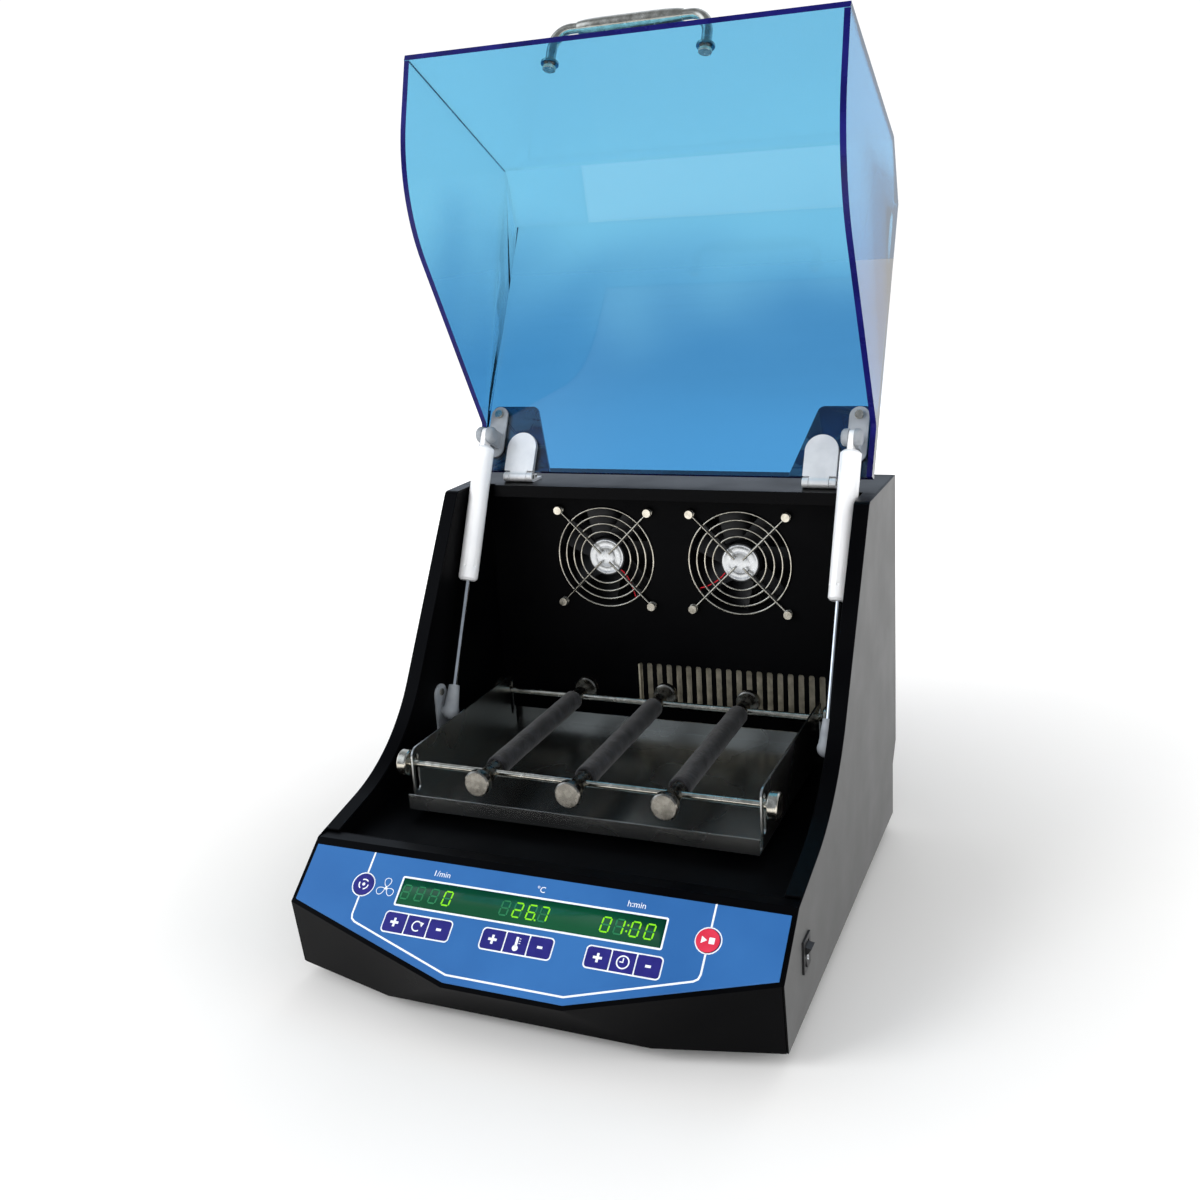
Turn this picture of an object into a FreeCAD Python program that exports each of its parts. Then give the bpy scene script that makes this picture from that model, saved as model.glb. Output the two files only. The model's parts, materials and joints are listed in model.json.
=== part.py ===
"""Incubated benchtop shaker: a heated chamber with an orbiting tray under a hinged clear lid.

Millimetres. +Z is up, +Y runs from the control panel to the back, +X is the user's right.
The origin is on the bench, under the middle of the machine with its lid open.
Each sub-part has one function that returns its shape. The lid and its hardware are drawn
closed, where they are square to the frame, and turned open about the hinge at the end.
"""
import FreeCAD
import Part
import math
import os

V = FreeCAD.Vector

# Case: the outside of the painted sheet steel
CASE_WIDTH = 360.0
FOOT_HEIGHT = 12.0
NOSE_Y = -231.0
NOSE_HEIGHT = 27.0
NOSE_HALF_WIDTH = 43.5
NOSE_BOTTOM_SETBACK = 17.0
NOSE_BOTTOM_HALF_WIDTH = 96.7
PANEL_RUN = 71.0
PANEL_RISE = 56.0
PANEL_SIDE_SETBACK = 31.0
WALL_HEIGHT = 293.0
WALL_FRONT_TOP_Y = 71.0
WALL_CORNER_Y = -50.7
WALL_CORNER_HEIGHT = 104.8
WALL_SWEEP_RADIUS = 140.0
WALL_TOP_CORNER_RADIUS = 6.0
REAR_Y = 176.0
REAR_FOOT_SETBACK = 14.0
REAR_STEP_TOP = 62.0
REAR_STEP_BOTTOM = 45.0
SHEET = 1.5
OVERRUN = 40.0
RUNNING = 0.05
SIDE_PLAY = 0.3

# Chamber: liner, floor and the rail that carries the hinges
WALL_CAVITY = 12.0
LINER = 1.0
LEDGE_DEPTH = 10.0
FLOOR_DROP = 8.0
RAIL_FRONT_Y = 100.0
RAIL_LIP = 10.0
STRUT_NOTCH_GAP = 2.0
BACK_WALL_Y = 130.0

# Places worked out from the sizes above
CASE_HALF = CASE_WIDTH / 2
CASE_BOTTOM = FOOT_HEIGHT
PANEL_TOP_Y = NOSE_Y + PANEL_RUN
NOSE_Z = CASE_BOTTOM + NOSE_HEIGHT
PANEL_TOP_Z = NOSE_Z + PANEL_RISE
WALL_TOP_Z = CASE_BOTTOM + WALL_HEIGHT
SKIN_INSIDE = CASE_HALF - SHEET
LINER_INSIDE = CASE_HALF - WALL_CAVITY
LEDGE_BACK_Y = PANEL_TOP_Y + LEDGE_DEPTH
FLOOR_Z = PANEL_TOP_Z - FLOOR_DROP
FLOOR_UNDER_Z = FLOOR_Z - SHEET
REAR_LOW_Y = REAR_Y - REAR_FOOT_SETBACK


def box(x, y, z):
    """A box from three (low, high) pairs."""
    size = (x[1] - x[0], y[1] - y[0], z[1] - z[0])
    return Part.makeBox(size[0], size[1], size[2], V(x[0], y[0], z[0]))


def rod(radius, start, along, length):
    return Part.makeCylinder(radius, length, V(*start), V(*along))


def tube(radius, bore, start, along, length):
    return rod(radius, start, along, length).cut(rod(bore, start, along, length))


def section_x(points, x_low, x_high):
    """Extrude a (y, z) outline along X."""
    corners = [V(x_low, y, z) for y, z in points]
    face = Part.Face(Part.makePolygon(corners + corners[:1]))
    return face.extrude(V(x_high - x_low, 0, 0))


def bent_sheet(points, thickness):
    """The closed (y, z) outline of a sheet whose outer face follows points, metal to the right."""
    shifted = []
    for index, (y, z) in enumerate(points):
        before = points[max(index - 1, 0)]
        after = points[min(index + 1, len(points) - 1)]
        normals = []
        for a, b in ((before, (y, z)), ((y, z), after)):
            run = math.hypot(b[0] - a[0], b[1] - a[1])
            if run > 0:
                normals.append(((b[1] - a[1]) / run, -(b[0] - a[0]) / run))
        first, last = normals[0], normals[-1]
        spread = 1 + first[0] * last[0] + first[1] * last[1]
        scale = thickness / spread
        shifted.append((y + (first[0] + last[0]) * scale, z + (first[1] + last[1]) * scale))
    return list(points) + shifted[::-1]


def both_sides(shape):
    """The shape and its mirror image across the middle plane."""
    return [shape, shape.mirror(V(0, 0, 0), V(1, 0, 0))]


def joined(shapes):
    return shapes[0].multiFuse(shapes[1:]).removeSplitter() if len(shapes) > 1 else shapes[0]


def drilled(shape, tools):
    return shape.cut(Part.makeCompound(tools))


# Outlines of the case

def front_plane_points():
    """Three points on each plane that shapes the nose, listed so the normal points outwards."""
    top_left = V(-CASE_HALF, PANEL_TOP_Y, PANEL_TOP_Z)
    top_right = V(CASE_HALF, PANEL_TOP_Y, PANEL_TOP_Z)
    nose_right = V(NOSE_HALF_WIDTH, NOSE_Y, NOSE_Z)
    nose_left = V(-NOSE_HALF_WIDTH, NOSE_Y, NOSE_Z)
    bottom_y = NOSE_Y + NOSE_BOTTOM_SETBACK
    bottom_right = V(NOSE_BOTTOM_HALF_WIDTH, bottom_y, CASE_BOTTOM)
    bottom_left = V(-NOSE_BOTTOM_HALF_WIDTH, bottom_y, CASE_BOTTOM)
    side_y = NOSE_Y + PANEL_SIDE_SETBACK
    side_z = NOSE_Z + PANEL_RISE * PANEL_SIDE_SETBACK / PANEL_RUN
    side_right = V(CASE_HALF, side_y, side_z)
    side_left = V(-CASE_HALF, side_y, side_z)
    return (
        (nose_left, nose_right, top_right),
        (bottom_left, bottom_right, nose_right),
        (bottom_right, side_right, nose_right),
        (nose_left, side_left, bottom_left),
    )


def trim_front(shape, inset):
    """Cut away what lies outside the nose, inset from its outer faces."""
    reach = CASE_WIDTH * 2
    for a, b, c in front_plane_points():
        normal = (b - a).cross(c - a).normalize()
        outside = Part.makeBox(reach, reach, reach, V(-reach / 2, -reach / 2, 0))
        outside.Placement = FreeCAD.Placement(
            a - normal * inset, FreeCAD.Rotation(V(0, 0, 1), normal)
        ).multiply(outside.Placement)
        shape = shape.cut(outside)
    return shape


def plane_y_at(x, z):
    """Where the right-hand nose face stands at a given x and height."""
    a, b, c = front_plane_points()[2]
    normal = (b - a).cross(c - a)
    return a.y - (normal.x * (x - a.x) + normal.z * (z - a.z)) / normal.y


def wall_profile(inset=0.0, x=0.0):
    """The side wall's outline as a face in the YZ plane, pulled in by inset."""
    corner = V(x, WALL_CORNER_Y, CASE_BOTTOM + WALL_CORNER_HEIGHT)
    low = V(x, PANEL_TOP_Y, PANEL_TOP_Z)
    top = V(x, WALL_FRONT_TOP_Y, WALL_TOP_Z)
    back_top = V(x, REAR_Y, WALL_TOP_Z)
    low_dir = (low - corner).normalize()
    top_dir = (top - corner).normalize()
    half_turn = (math.pi - low_dir.getAngle(top_dir)) / 2
    reach = WALL_SWEEP_RADIUS * math.tan(half_turn)
    bisector = (low_dir + top_dir).normalize()
    centre = corner + bisector * (WALL_SWEEP_RADIUS / math.cos(half_turn))
    middle = centre - bisector * WALL_SWEEP_RADIUS
    start, end = corner + low_dir * reach, corner + top_dir * reach
    across = V(0, 1, 0)
    down = (corner - top).normalize()
    top_half = (math.pi - across.getAngle(down)) / 2
    top_reach = WALL_TOP_CORNER_RADIUS * math.tan(top_half)
    top_bisector = (across + down).normalize()
    top_centre = top + top_bisector * (WALL_TOP_CORNER_RADIUS / math.cos(top_half))
    edges = [
        Part.makeLine(low, start),
        Part.Arc(start, middle, end).toShape(),
        Part.makeLine(end, top + down * top_reach),
        Part.Arc(
            top + down * top_reach,
            top_centre - top_bisector * WALL_TOP_CORNER_RADIUS,
            top + across * top_reach,
        ).toShape(),
    ]
    side_y = NOSE_Y + PANEL_SIDE_SETBACK
    side_z = NOSE_Z + PANEL_RISE * PANEL_SIDE_SETBACK / PANEL_RUN
    corners = [
        top + across * top_reach,
        back_top,
        V(x, REAR_Y, CASE_BOTTOM + REAR_STEP_TOP),
        V(x, REAR_LOW_Y, CASE_BOTTOM + REAR_STEP_BOTTOM),
        V(x, REAR_LOW_Y, CASE_BOTTOM),
        V(x, plane_y_at(CASE_HALF, CASE_BOTTOM), CASE_BOTTOM),
        V(x, side_y, side_z),
        low,
    ]
    edges += [Part.makeLine(a, b) for a, b in zip(corners, corners[1:])]
    face = Part.Face(Part.Wire(edges))
    if inset:
        face = face.makeOffset2D(-inset, join=2)
    return face


# Case panels

SWITCH_Y = -148.0
SWITCH_Z = 57.0
SWITCH_CUT_WIDTH = 13.0
SWITCH_CUT_HEIGHT = 19.0


def side_panel():
    """Right side wall: an outer skin with a flange folded in along its swept front edge."""
    skin = wall_profile(x=SKIN_INSIDE).extrude(V(SHEET, 0, 0))
    solid = wall_profile(x=LINER_INSIDE).extrude(V(WALL_CAVITY - SHEET, 0, 0))
    hollow = wall_profile(SHEET, LINER_INSIDE).extrude(V(WALL_CAVITY - SHEET, 0, 0))
    span = box(
        (LINER_INSIDE, SKIN_INSIDE), (LEDGE_BACK_Y, RAIL_FRONT_Y), (PANEL_TOP_Z - SHEET, WALL_TOP_Z)
    )
    return skin.fuse(solid.cut(hollow).common(span)).removeSplitter()


def right_side_panel():
    window = box(
        (SKIN_INSIDE - OVERRUN, CASE_HALF + OVERRUN),
        (SWITCH_Y - SWITCH_CUT_WIDTH / 2, SWITCH_Y + SWITCH_CUT_WIDTH / 2),
        (SWITCH_Z - SWITCH_CUT_HEIGHT / 2, SWITCH_Z + SWITCH_CUT_HEIGHT / 2),
    )
    return side_panel().cut(window)


def left_side_panel():
    return both_sides(side_panel())[1]


# Control panel places, measured down the slope from its top edge
PANEL_SLOPE = math.atan2(PANEL_RISE, PANEL_RUN)
DISPLAY_WIDTH = 195.0
DISPLAY_HEIGHT = 19.3
DISPLAY_TOP = 21.1
KEY_ROW = 53.4
KEY_WIDTH = 16.4
KEY_HEIGHT = 13.6
KEY_CORNER = 2.6
KEY_GAP = 0.9
KEY_GROUP_PITCH = 75.5
ROUND_KEY_X = 127.0
ROUND_KEY_ROW = 30.5
ROUND_KEY_RADIUS = 7.8
KEY_CLEARANCE = 0.3
KEY_THICK = 0.8
KEY_TRAVEL = 0.5
KEY_PROUD = 0.55
PLUNGER_RADIUS = 2.5
PLUNGER_HOLE = 3.1
OVERLAY = 0.8
OVERLAY_MARGIN = 3.5
OVERLAY_TOP_MARGIN = 6.0
OVERLAY_LOW_MARGIN = 2.5
BOARD_DEPTH = 9.0
DISPLAY_CLEARANCE = 0.4
SWITCH_BUTTON = 3.0


def on_panel(shape):
    """Place a shape drawn flat (x across, y up the slope, z outwards) on the sloping panel."""
    placed = shape.copy()
    placed.rotate(V(0, 0, 0), V(1, 0, 0), math.degrees(PANEL_SLOPE))
    placed.translate(V(0, PANEL_TOP_Y, PANEL_TOP_Z))
    return placed


def panel_box(x, down, out):
    return box(x, (-down[1], -down[0]), out)


def rounded_box(x, y, z, radius):
    """A box with its four upright edges rounded."""
    block = box(x, y, z)
    upright = [edge for edge in block.Edges if edge.Vertexes[0].Z != edge.Vertexes[1].Z]
    return block.makeFillet(radius, upright)


def key_places():
    """Each key as (name, x, distance down the slope, is it round)."""
    places = [("key_fan", -ROUND_KEY_X, ROUND_KEY_ROW, True)]
    for index, label in enumerate(("speed", "heat", "time")):
        centre = (index - 1) * KEY_GROUP_PITCH
        step = KEY_WIDTH + KEY_GAP
        places.append(("key_%s_up" % label, centre - step, KEY_ROW, False))
        places.append(("key_%s_down" % label, centre + step, KEY_ROW, False))
    places.append(("key_start_stop", ROUND_KEY_X, ROUND_KEY_ROW, True))
    return places


def key_outline(x, down, is_round, grow, out):
    if is_round:
        return rod(ROUND_KEY_RADIUS + grow, (x, -down, out[0]), (0, 0, 1), out[1] - out[0])
    half_width, half_height = KEY_WIDTH / 2 + grow, KEY_HEIGHT / 2 + grow
    return rounded_box(
        (x - half_width, x + half_width), (-down - half_height, -down + half_height), out, KEY_CORNER
    )


def key(x, down, is_round):
    """A keypad key: a thin cap over the panel sheet and the plunger behind it."""
    cap = key_outline(x, down, is_round, 0, (KEY_PROUD, KEY_PROUD + KEY_THICK))
    foot = KEY_PROUD - BOARD_DEPTH + SWITCH_BUTTON
    plunger = rod(PLUNGER_RADIUS, (x, -down, foot), (0, 0, 1), KEY_PROUD - foot)
    return on_panel(cap.fuse(plunger))


def display_opening(grow, out):
    half = DISPLAY_WIDTH / 2 + grow
    return panel_box((-half, half), (DISPLAY_TOP - grow, DISPLAY_TOP + DISPLAY_HEIGHT + grow), out)


def front_fascia():
    """The nose: the sloping control panel, three front facets and the ledge behind the panel."""
    across = (-SKIN_INSIDE, SKIN_INSIDE)
    along = (NOSE_Y - OVERRUN, LEDGE_BACK_Y)
    block = box(across, along, (CASE_BOTTOM, PANEL_TOP_Z))
    room = box(across, along, (CASE_BOTTOM, PANEL_TOP_Z - SHEET))
    shell = trim_front(block, 0).cut(trim_front(room, SHEET))
    through = (-BOARD_DEPTH, BOARD_DEPTH)
    tools = [on_panel(display_opening(DISPLAY_CLEARANCE, through))]
    for _, x, down, _ in key_places():
        hole = rod(PLUNGER_HOLE, (x, -down, through[0]), (0, 0, 1), through[1] - through[0])
        tools.append(on_panel(hole))
    return drilled(shell, tools)


def control_overlay():
    """The printed film on the panel, open over the display and round every key."""
    sheet = box(
        (-CASE_HALF + OVERLAY_MARGIN, CASE_HALF - OVERLAY_MARGIN),
        (NOSE_Y - OVERRUN, PANEL_TOP_Y),
        (NOSE_Z - OVERRUN, PANEL_TOP_Z + OVERRUN),
    )
    flat = panel_box(
        (-CASE_HALF, CASE_HALF), (OVERLAY_TOP_MARGIN, PANEL_RUN * 2), (0, OVERLAY)
    )
    film = on_panel(flat).common(sheet)
    edge = box(
        (-CASE_WIDTH, CASE_WIDTH), (NOSE_Y - OVERRUN, PANEL_TOP_Y), (0, PANEL_TOP_Z + OVERRUN)
    )
    film = film.common(trim_front_sides(edge, OVERLAY_LOW_MARGIN))
    reach = (-OVERLAY, OVERLAY * 2)
    tools = [on_panel(display_opening(0, reach))]
    for _, x, down, is_round in key_places():
        tools.append(on_panel(key_outline(x, down, is_round, KEY_CLEARANCE, reach)))
    return drilled(film, tools)


def trim_front_sides(shape, inset):
    """Keep what lies behind upright planes through the panel's lower edges."""
    reach = CASE_WIDTH * 2
    side_y = NOSE_Y + PANEL_SIDE_SETBACK
    corners = [
        (-CASE_HALF, side_y), (-NOSE_HALF_WIDTH, NOSE_Y), (NOSE_HALF_WIDTH, NOSE_Y), (CASE_HALF, side_y)
    ]
    for (x0, y0), (x1, y1) in zip(corners, corners[1:]):
        angle = math.degrees(math.atan2(y1 - y0, x1 - x0))
        outside = box((-reach, reach), (-reach, inset), (-reach, reach))
        outside.rotate(V(0, 0, 0), V(0, 0, 1), angle)
        outside.translate(V(x0, y0, 0))
        shape = shape.cut(outside)
    return shape


# Display and keypad board, behind the panel
BOARD_THICK = 1.6
BOARD_HALF_WIDTH = 112.0
BOARD_TOP = 14.0
BOARD_LOW = 62.0
TAB_HALF_WIDTH = 137.0
TAB_HALF_HEIGHT = 8.0
DISPLAY_PROUD = 0.3
POST_RADIUS = 3.0
POST_INSET = 6.0


def display_board():
    """Circuit board with the digit block that fills the display opening, and one switch per key."""
    under = (-BOARD_DEPTH - BOARD_THICK, -BOARD_DEPTH)
    parts = [
        panel_box((-BOARD_HALF_WIDTH, BOARD_HALF_WIDTH), (BOARD_TOP, BOARD_LOW), under),
        panel_box(
            (-TAB_HALF_WIDTH, TAB_HALF_WIDTH),
            (ROUND_KEY_ROW - TAB_HALF_HEIGHT, ROUND_KEY_ROW + TAB_HALF_HEIGHT),
            under,
        ),
        display_opening(0, (-BOARD_DEPTH, DISPLAY_PROUD)),
    ]
    top = KEY_PROUD - BOARD_DEPTH + SWITCH_BUTTON - KEY_TRAVEL - KEY_CLEARANCE
    for _, x, down, _ in key_places():
        parts.append(rod(PLUNGER_RADIUS, (x, -down, -BOARD_DEPTH), (0, 0, 1), top + BOARD_DEPTH))
    for x in (-BOARD_HALF_WIDTH + POST_INSET, BOARD_HALF_WIDTH - POST_INSET):
        for down in (BOARD_TOP + POST_INSET / 2, BOARD_LOW - POST_INSET / 2):
            length = BOARD_DEPTH - SHEET
            parts.append(rod(POST_RADIUS, (x, -down, -BOARD_DEPTH), (0, 0, 1), length))
    return on_panel(joined(parts))


# Base, back and rail
BASE_LIP = 15.0
VENT_SLOTS = 7
VENT_PITCH = 12.0
VENT_WIDTH = 4.0
VENT_HEIGHT = 60.0
REAR_SCREW_INSET = 15.0
REAR_SCREW_X = CASE_HALF - REAR_SCREW_INSET
REAR_SCREW_TOP = 20.0
INLET_X = 95.0
INLET_Z = 35.0
INLET_WIDTH = 27.0
INLET_HEIGHT = 31.0
INLET_FLANGE = 3.0
INLET_FLANGE_THICK = 2.0
INLET_DEPTH = 26.0
SOCKET_WIDTH = 24.0
SOCKET_HEIGHT = 16.5
SOCKET_DEPTH = 16.0
SOCKET_Z = 41.0
PIN_PITCH = 7.0
PIN_RISE = 3.0
PIN_THICK = 2.0
PIN_HEIGHT = 4.0
PIN_LENGTH = 12.0
FOOT_INSET = 35.0
FOOT_X = CASE_HALF - FOOT_INSET
FOOT_FRONT_Y = -172.0
FOOT_REAR_Y = 138.0
FOOT_RADIUS = 12.0
SCREW_RADIUS = 2.0
SCREW_CLEARANCE = 0.2
SCREW_HEAD = 3.6
SCREW_HEAD_HEIGHT = 2.4


def foot_places():
    return [(x, y) for x in (-FOOT_X, FOOT_X) for y in (FOOT_FRONT_Y, FOOT_REAR_Y)]


def base_pan():
    """Floor of the case, turned up along both sides."""
    high = CASE_BOTTOM + BASE_LIP
    block = box((-SKIN_INSIDE, SKIN_INSIDE), (NOSE_Y, REAR_LOW_Y - SHEET), (CASE_BOTTOM, high))
    block = trim_front(block, SHEET)
    inner = SKIN_INSIDE - SHEET
    room = box((-inner, inner), (NOSE_Y, REAR_LOW_Y), (CASE_BOTTOM + SHEET, high))
    behind_nose = box(
        (-CASE_HALF, CASE_HALF), (NOSE_Y, NOSE_Y + PANEL_RUN), (CASE_BOTTOM + SHEET, high)
    )
    pan = block.cut(room).cut(behind_nose)
    holes = [
        rod(SCREW_RADIUS + SCREW_CLEARANCE, (x, y, 0), (0, 0, 1), CASE_BOTTOM + OVERRUN)
        for x, y in foot_places()
    ]
    return drilled(pan, holes)


def rear_panel():
    """Back of the case: stepped in at the foot, with fan intake slots and the power inlet hole."""
    outline = bent_sheet(
        [
            (REAR_Y, WALL_TOP_Z - SHEET),
            (REAR_Y, CASE_BOTTOM + REAR_STEP_TOP),
            (REAR_LOW_Y, CASE_BOTTOM + REAR_STEP_BOTTOM),
            (REAR_LOW_Y, CASE_BOTTOM),
        ],
        SHEET,
    )
    panel = section_x(outline, -SKIN_INSIDE, SKIN_INSIDE)
    through = (REAR_LOW_Y - OVERRUN, REAR_Y + OVERRUN)
    tools = [
        box(
            (INLET_X - INLET_WIDTH / 2, INLET_X + INLET_WIDTH / 2),
            through,
            (INLET_Z - INLET_HEIGHT / 2, INLET_Z + INLET_HEIGHT / 2),
        )
    ]
    for side in (-FAN_X, FAN_X):
        for index in range(VENT_SLOTS):
            x = side + (index - (VENT_SLOTS - 1) / 2) * VENT_PITCH
            tools.append(
                box(
                    (x - VENT_WIDTH / 2, x + VENT_WIDTH / 2),
                    (REAR_Y - OVERRUN, REAR_Y + OVERRUN),
                    (FAN_Z - VENT_HEIGHT / 2, FAN_Z + VENT_HEIGHT / 2),
                )
            )
    for x, z in rear_screw_places():
        tools.append(rod(SCREW_RADIUS + SCREW_CLEARANCE, (x, through[0], z), (0, 1, 0), OVERRUN * 3))
    return drilled(panel, tools)


def rear_screw_places():
    top = WALL_TOP_Z - REAR_SCREW_TOP
    low = CASE_BOTTOM + REAR_STEP_TOP + REAR_SCREW_TOP
    return [(x, z) for x in (-REAR_SCREW_X, REAR_SCREW_X) for z in (low, top)]


def top_rail():
    """The folded rail across the back that the lid hangs from, notched round both struts."""
    top = box((-SKIN_INSIDE, SKIN_INSIDE), (RAIL_FRONT_Y, REAR_Y), (WALL_TOP_Z - SHEET, WALL_TOP_Z))
    lip = box(
        (-LINER_INSIDE, LINER_INSIDE),
        (RAIL_FRONT_Y, RAIL_FRONT_Y + SHEET),
        (WALL_TOP_Z - RAIL_LIP, WALL_TOP_Z),
    )
    holes = [
        rod(SCREW_RADIUS, (x, y, WALL_TOP_Z - SHEET), (0, 0, 1), SHEET) for x, y in fixed_screw_places()
    ]
    pivot, way, _ = strut_line()
    strut_y = pivot.y - way.y * (pivot.z - WALL_TOP_Z) / way.z
    notch = box(
        (STRUT_X - TUBE_RADIUS - STRUT_NOTCH_GAP, LINER_INSIDE),
        (RAIL_FRONT_Y, strut_y - TUBE_RADIUS / way.z + STRUT_NOTCH_GAP),
        (WALL_TOP_Z - RAIL_LIP, WALL_TOP_Z),
    )
    return drilled(joined([top, lip]), holes + both_sides(notch))


def power_inlet():
    """Three-pin appliance inlet with a fuse drawer, set in the rear panel."""
    half_w, half_h = INLET_WIDTH / 2, INLET_HEIGHT / 2
    flange = box(
        (INLET_X - half_w - INLET_FLANGE, INLET_X + half_w + INLET_FLANGE),
        (REAR_LOW_Y, REAR_LOW_Y + INLET_FLANGE_THICK),
        (INLET_Z - half_h - INLET_FLANGE, INLET_Z + half_h + INLET_FLANGE),
    )
    body = box(
        (INLET_X - half_w, INLET_X + half_w),
        (REAR_LOW_Y - INLET_DEPTH, REAR_LOW_Y),
        (INLET_Z - half_h, INLET_Z + half_h),
    )
    face = REAR_LOW_Y + INLET_FLANGE_THICK
    socket = box(
        (INLET_X - SOCKET_WIDTH / 2, INLET_X + SOCKET_WIDTH / 2),
        (face - SOCKET_DEPTH, face),
        (SOCKET_Z - SOCKET_HEIGHT / 2, SOCKET_Z + SOCKET_HEIGHT / 2),
    )
    shape = flange.fuse(body).cut(socket)
    pins = []
    for offset, rise in ((-PIN_PITCH, 0), (0, PIN_RISE), (PIN_PITCH, 0)):
        pins.append(
            box(
                (INLET_X + offset - PIN_THICK / 2, INLET_X + offset + PIN_THICK / 2),
                (face - SOCKET_DEPTH, face - SOCKET_DEPTH + PIN_LENGTH),
                (SOCKET_Z + rise - PIN_HEIGHT / 2, SOCKET_Z + rise + PIN_HEIGHT / 2),
            )
        )
    return joined([shape] + pins)


# Power switch on the right wall
SWITCH_BEZEL = 2.0
SWITCH_BEZEL_THICK = 1.5
SWITCH_BODY_DEPTH = 20.0
ROCKER_CLEARANCE = 0.4
ROCKER_PIVOT_DEPTH = 2.0
ROCKER_TILT = 12.0
ROCKER_FLAT = 2.6
ROCKER_PIN = 1.0


def switch_frame():
    """Housing of the rocker switch: a bezel outside the wall and a box behind it."""
    y, z = SWITCH_CUT_WIDTH / 2, SWITCH_CUT_HEIGHT / 2
    bezel = box(
        (CASE_HALF, CASE_HALF + SWITCH_BEZEL_THICK),
        (SWITCH_Y - y - SWITCH_BEZEL, SWITCH_Y + y + SWITCH_BEZEL),
        (SWITCH_Z - z - SWITCH_BEZEL, SWITCH_Z + z + SWITCH_BEZEL),
    )
    body = box(
        (CASE_HALF - SWITCH_BODY_DEPTH, CASE_HALF),
        (SWITCH_Y - y, SWITCH_Y + y),
        (SWITCH_Z - z, SWITCH_Z + z),
    )
    wall = SWITCH_BEZEL_THICK
    room = box(
        (CASE_HALF - SWITCH_BODY_DEPTH + wall, CASE_HALF + SWITCH_BEZEL_THICK),
        (SWITCH_Y - y + wall, SWITCH_Y + y - wall),
        (SWITCH_Z - z + wall, SWITCH_Z + z - wall),
    )
    pin = rod(
        ROCKER_PIN, (CASE_HALF - ROCKER_PIVOT_DEPTH, SWITCH_Y - y, SWITCH_Z), (0, 1, 0), SWITCH_CUT_WIDTH
    )
    return bezel.fuse(body).cut(room).fuse(pin)


def power_rocker():
    """The rocker, tipped so its top half stands out."""
    half_y = SWITCH_CUT_WIDTH / 2 - SWITCH_BEZEL_THICK - ROCKER_CLEARANCE
    half_z = SWITCH_CUT_HEIGHT / 2 - SWITCH_BEZEL_THICK - ROCKER_CLEARANCE * 3
    pivot_x = CASE_HALF - ROCKER_PIVOT_DEPTH
    face_x = CASE_HALF + SWITCH_BEZEL_THICK + ROCKER_FLAT
    low = -half_z * math.cos(math.radians(ROCKER_TILT))
    back_x = pivot_x - ROCKER_FLAT
    outline = [
        V(back_x, 0, low),
        V(face_x, 0, low),
        V(face_x - ROCKER_FLAT, 0, 0),
        V(face_x, 0, -low),
        V(back_x, 0, -low),
    ]
    face = Part.Face(Part.makePolygon(outline + outline[:1]))
    block = face.extrude(V(0, half_y * 2, 0))
    block.translate(V(0, SWITCH_Y - half_y, SWITCH_Z))
    start = (pivot_x, SWITCH_Y - SWITCH_CUT_WIDTH, SWITCH_Z)
    rocker = block.cut(rod(ROCKER_PIN + RUNNING, start, (0, 1, 0), SWITCH_CUT_WIDTH * 2))
    rocker.rotate(V(pivot_x, SWITCH_Y, SWITCH_Z), V(0, 1, 0), ROCKER_TILT)
    return rocker


# Chamber
FAN_PITCH = 82.5
FAN_EDGE = 4.75
FAN_RIM = 2.5
FAN_SIZE = FAN_PITCH + FAN_EDGE * 2
FAN_BORE = FAN_SIZE / 2 - FAN_RIM
FAN_DEPTH = 25.0
FAN_X = 60.0
FAN_Z = 237.0
FAN_CORNER = 4.0
FAN_HUB = 16.5
FAN_HUB_DEPTH = 6.0
FAN_STRUT = 3.0
FAN_STRUTS = 4
FAN_GAP = 1.0
SPINDLE = 1.5
SPINDLE_DEPTH = 4.0
BLADES = 7
BLADE_CHORD = 18.0
BLADE_THICK = 1.2
BLADE_PITCH = 40.0
BLADE_CLEARANCE = 1.0
BLADE_ROOT = 14.0
SLOTS = 21
SLOT_PITCH = 9.0
SLOT_WIDTH = 5.0
SLOT_LOW_Z = 100.0
SLOT_HIGH_Z = 143.0
SLOT_EDGE_GAP = 19.5
SLOT_CENTRE_X = LINER_INSIDE - SLOT_EDGE_GAP - ((SLOTS - 1) * SLOT_PITCH + SLOT_WIDTH) / 2
FAN_FRONT_Y = BACK_WALL_Y + LINER


def fan_screw_places():
    half = FAN_PITCH / 2
    return [
        (side + dx, FAN_Z + dz)
        for side in (-FAN_X, FAN_X)
        for dx in (-half, half)
        for dz in (-half, half)
    ]


def chamber_side_walls():
    """Inner walls at both sides of the chamber, drilled for the struts' wall plates."""
    side = wall_profile(SHEET, LINER_INSIDE).extrude(V(LINER, 0, 0))
    span = box(
        (LINER_INSIDE, LINER_INSIDE + LINER),
        (LEDGE_BACK_Y, FAN_FRONT_Y),
        (FLOOR_UNDER_Z, WALL_TOP_Z - SHEET),
    )
    tools = [
        rod(SCREW_RADIUS + SCREW_CLEARANCE, (LINER_INSIDE, y, z), (1, 0, 0), LINER)
        for y, z in wall_screw_places()
    ]
    return both_sides(drilled(side.common(span), tools))


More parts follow.
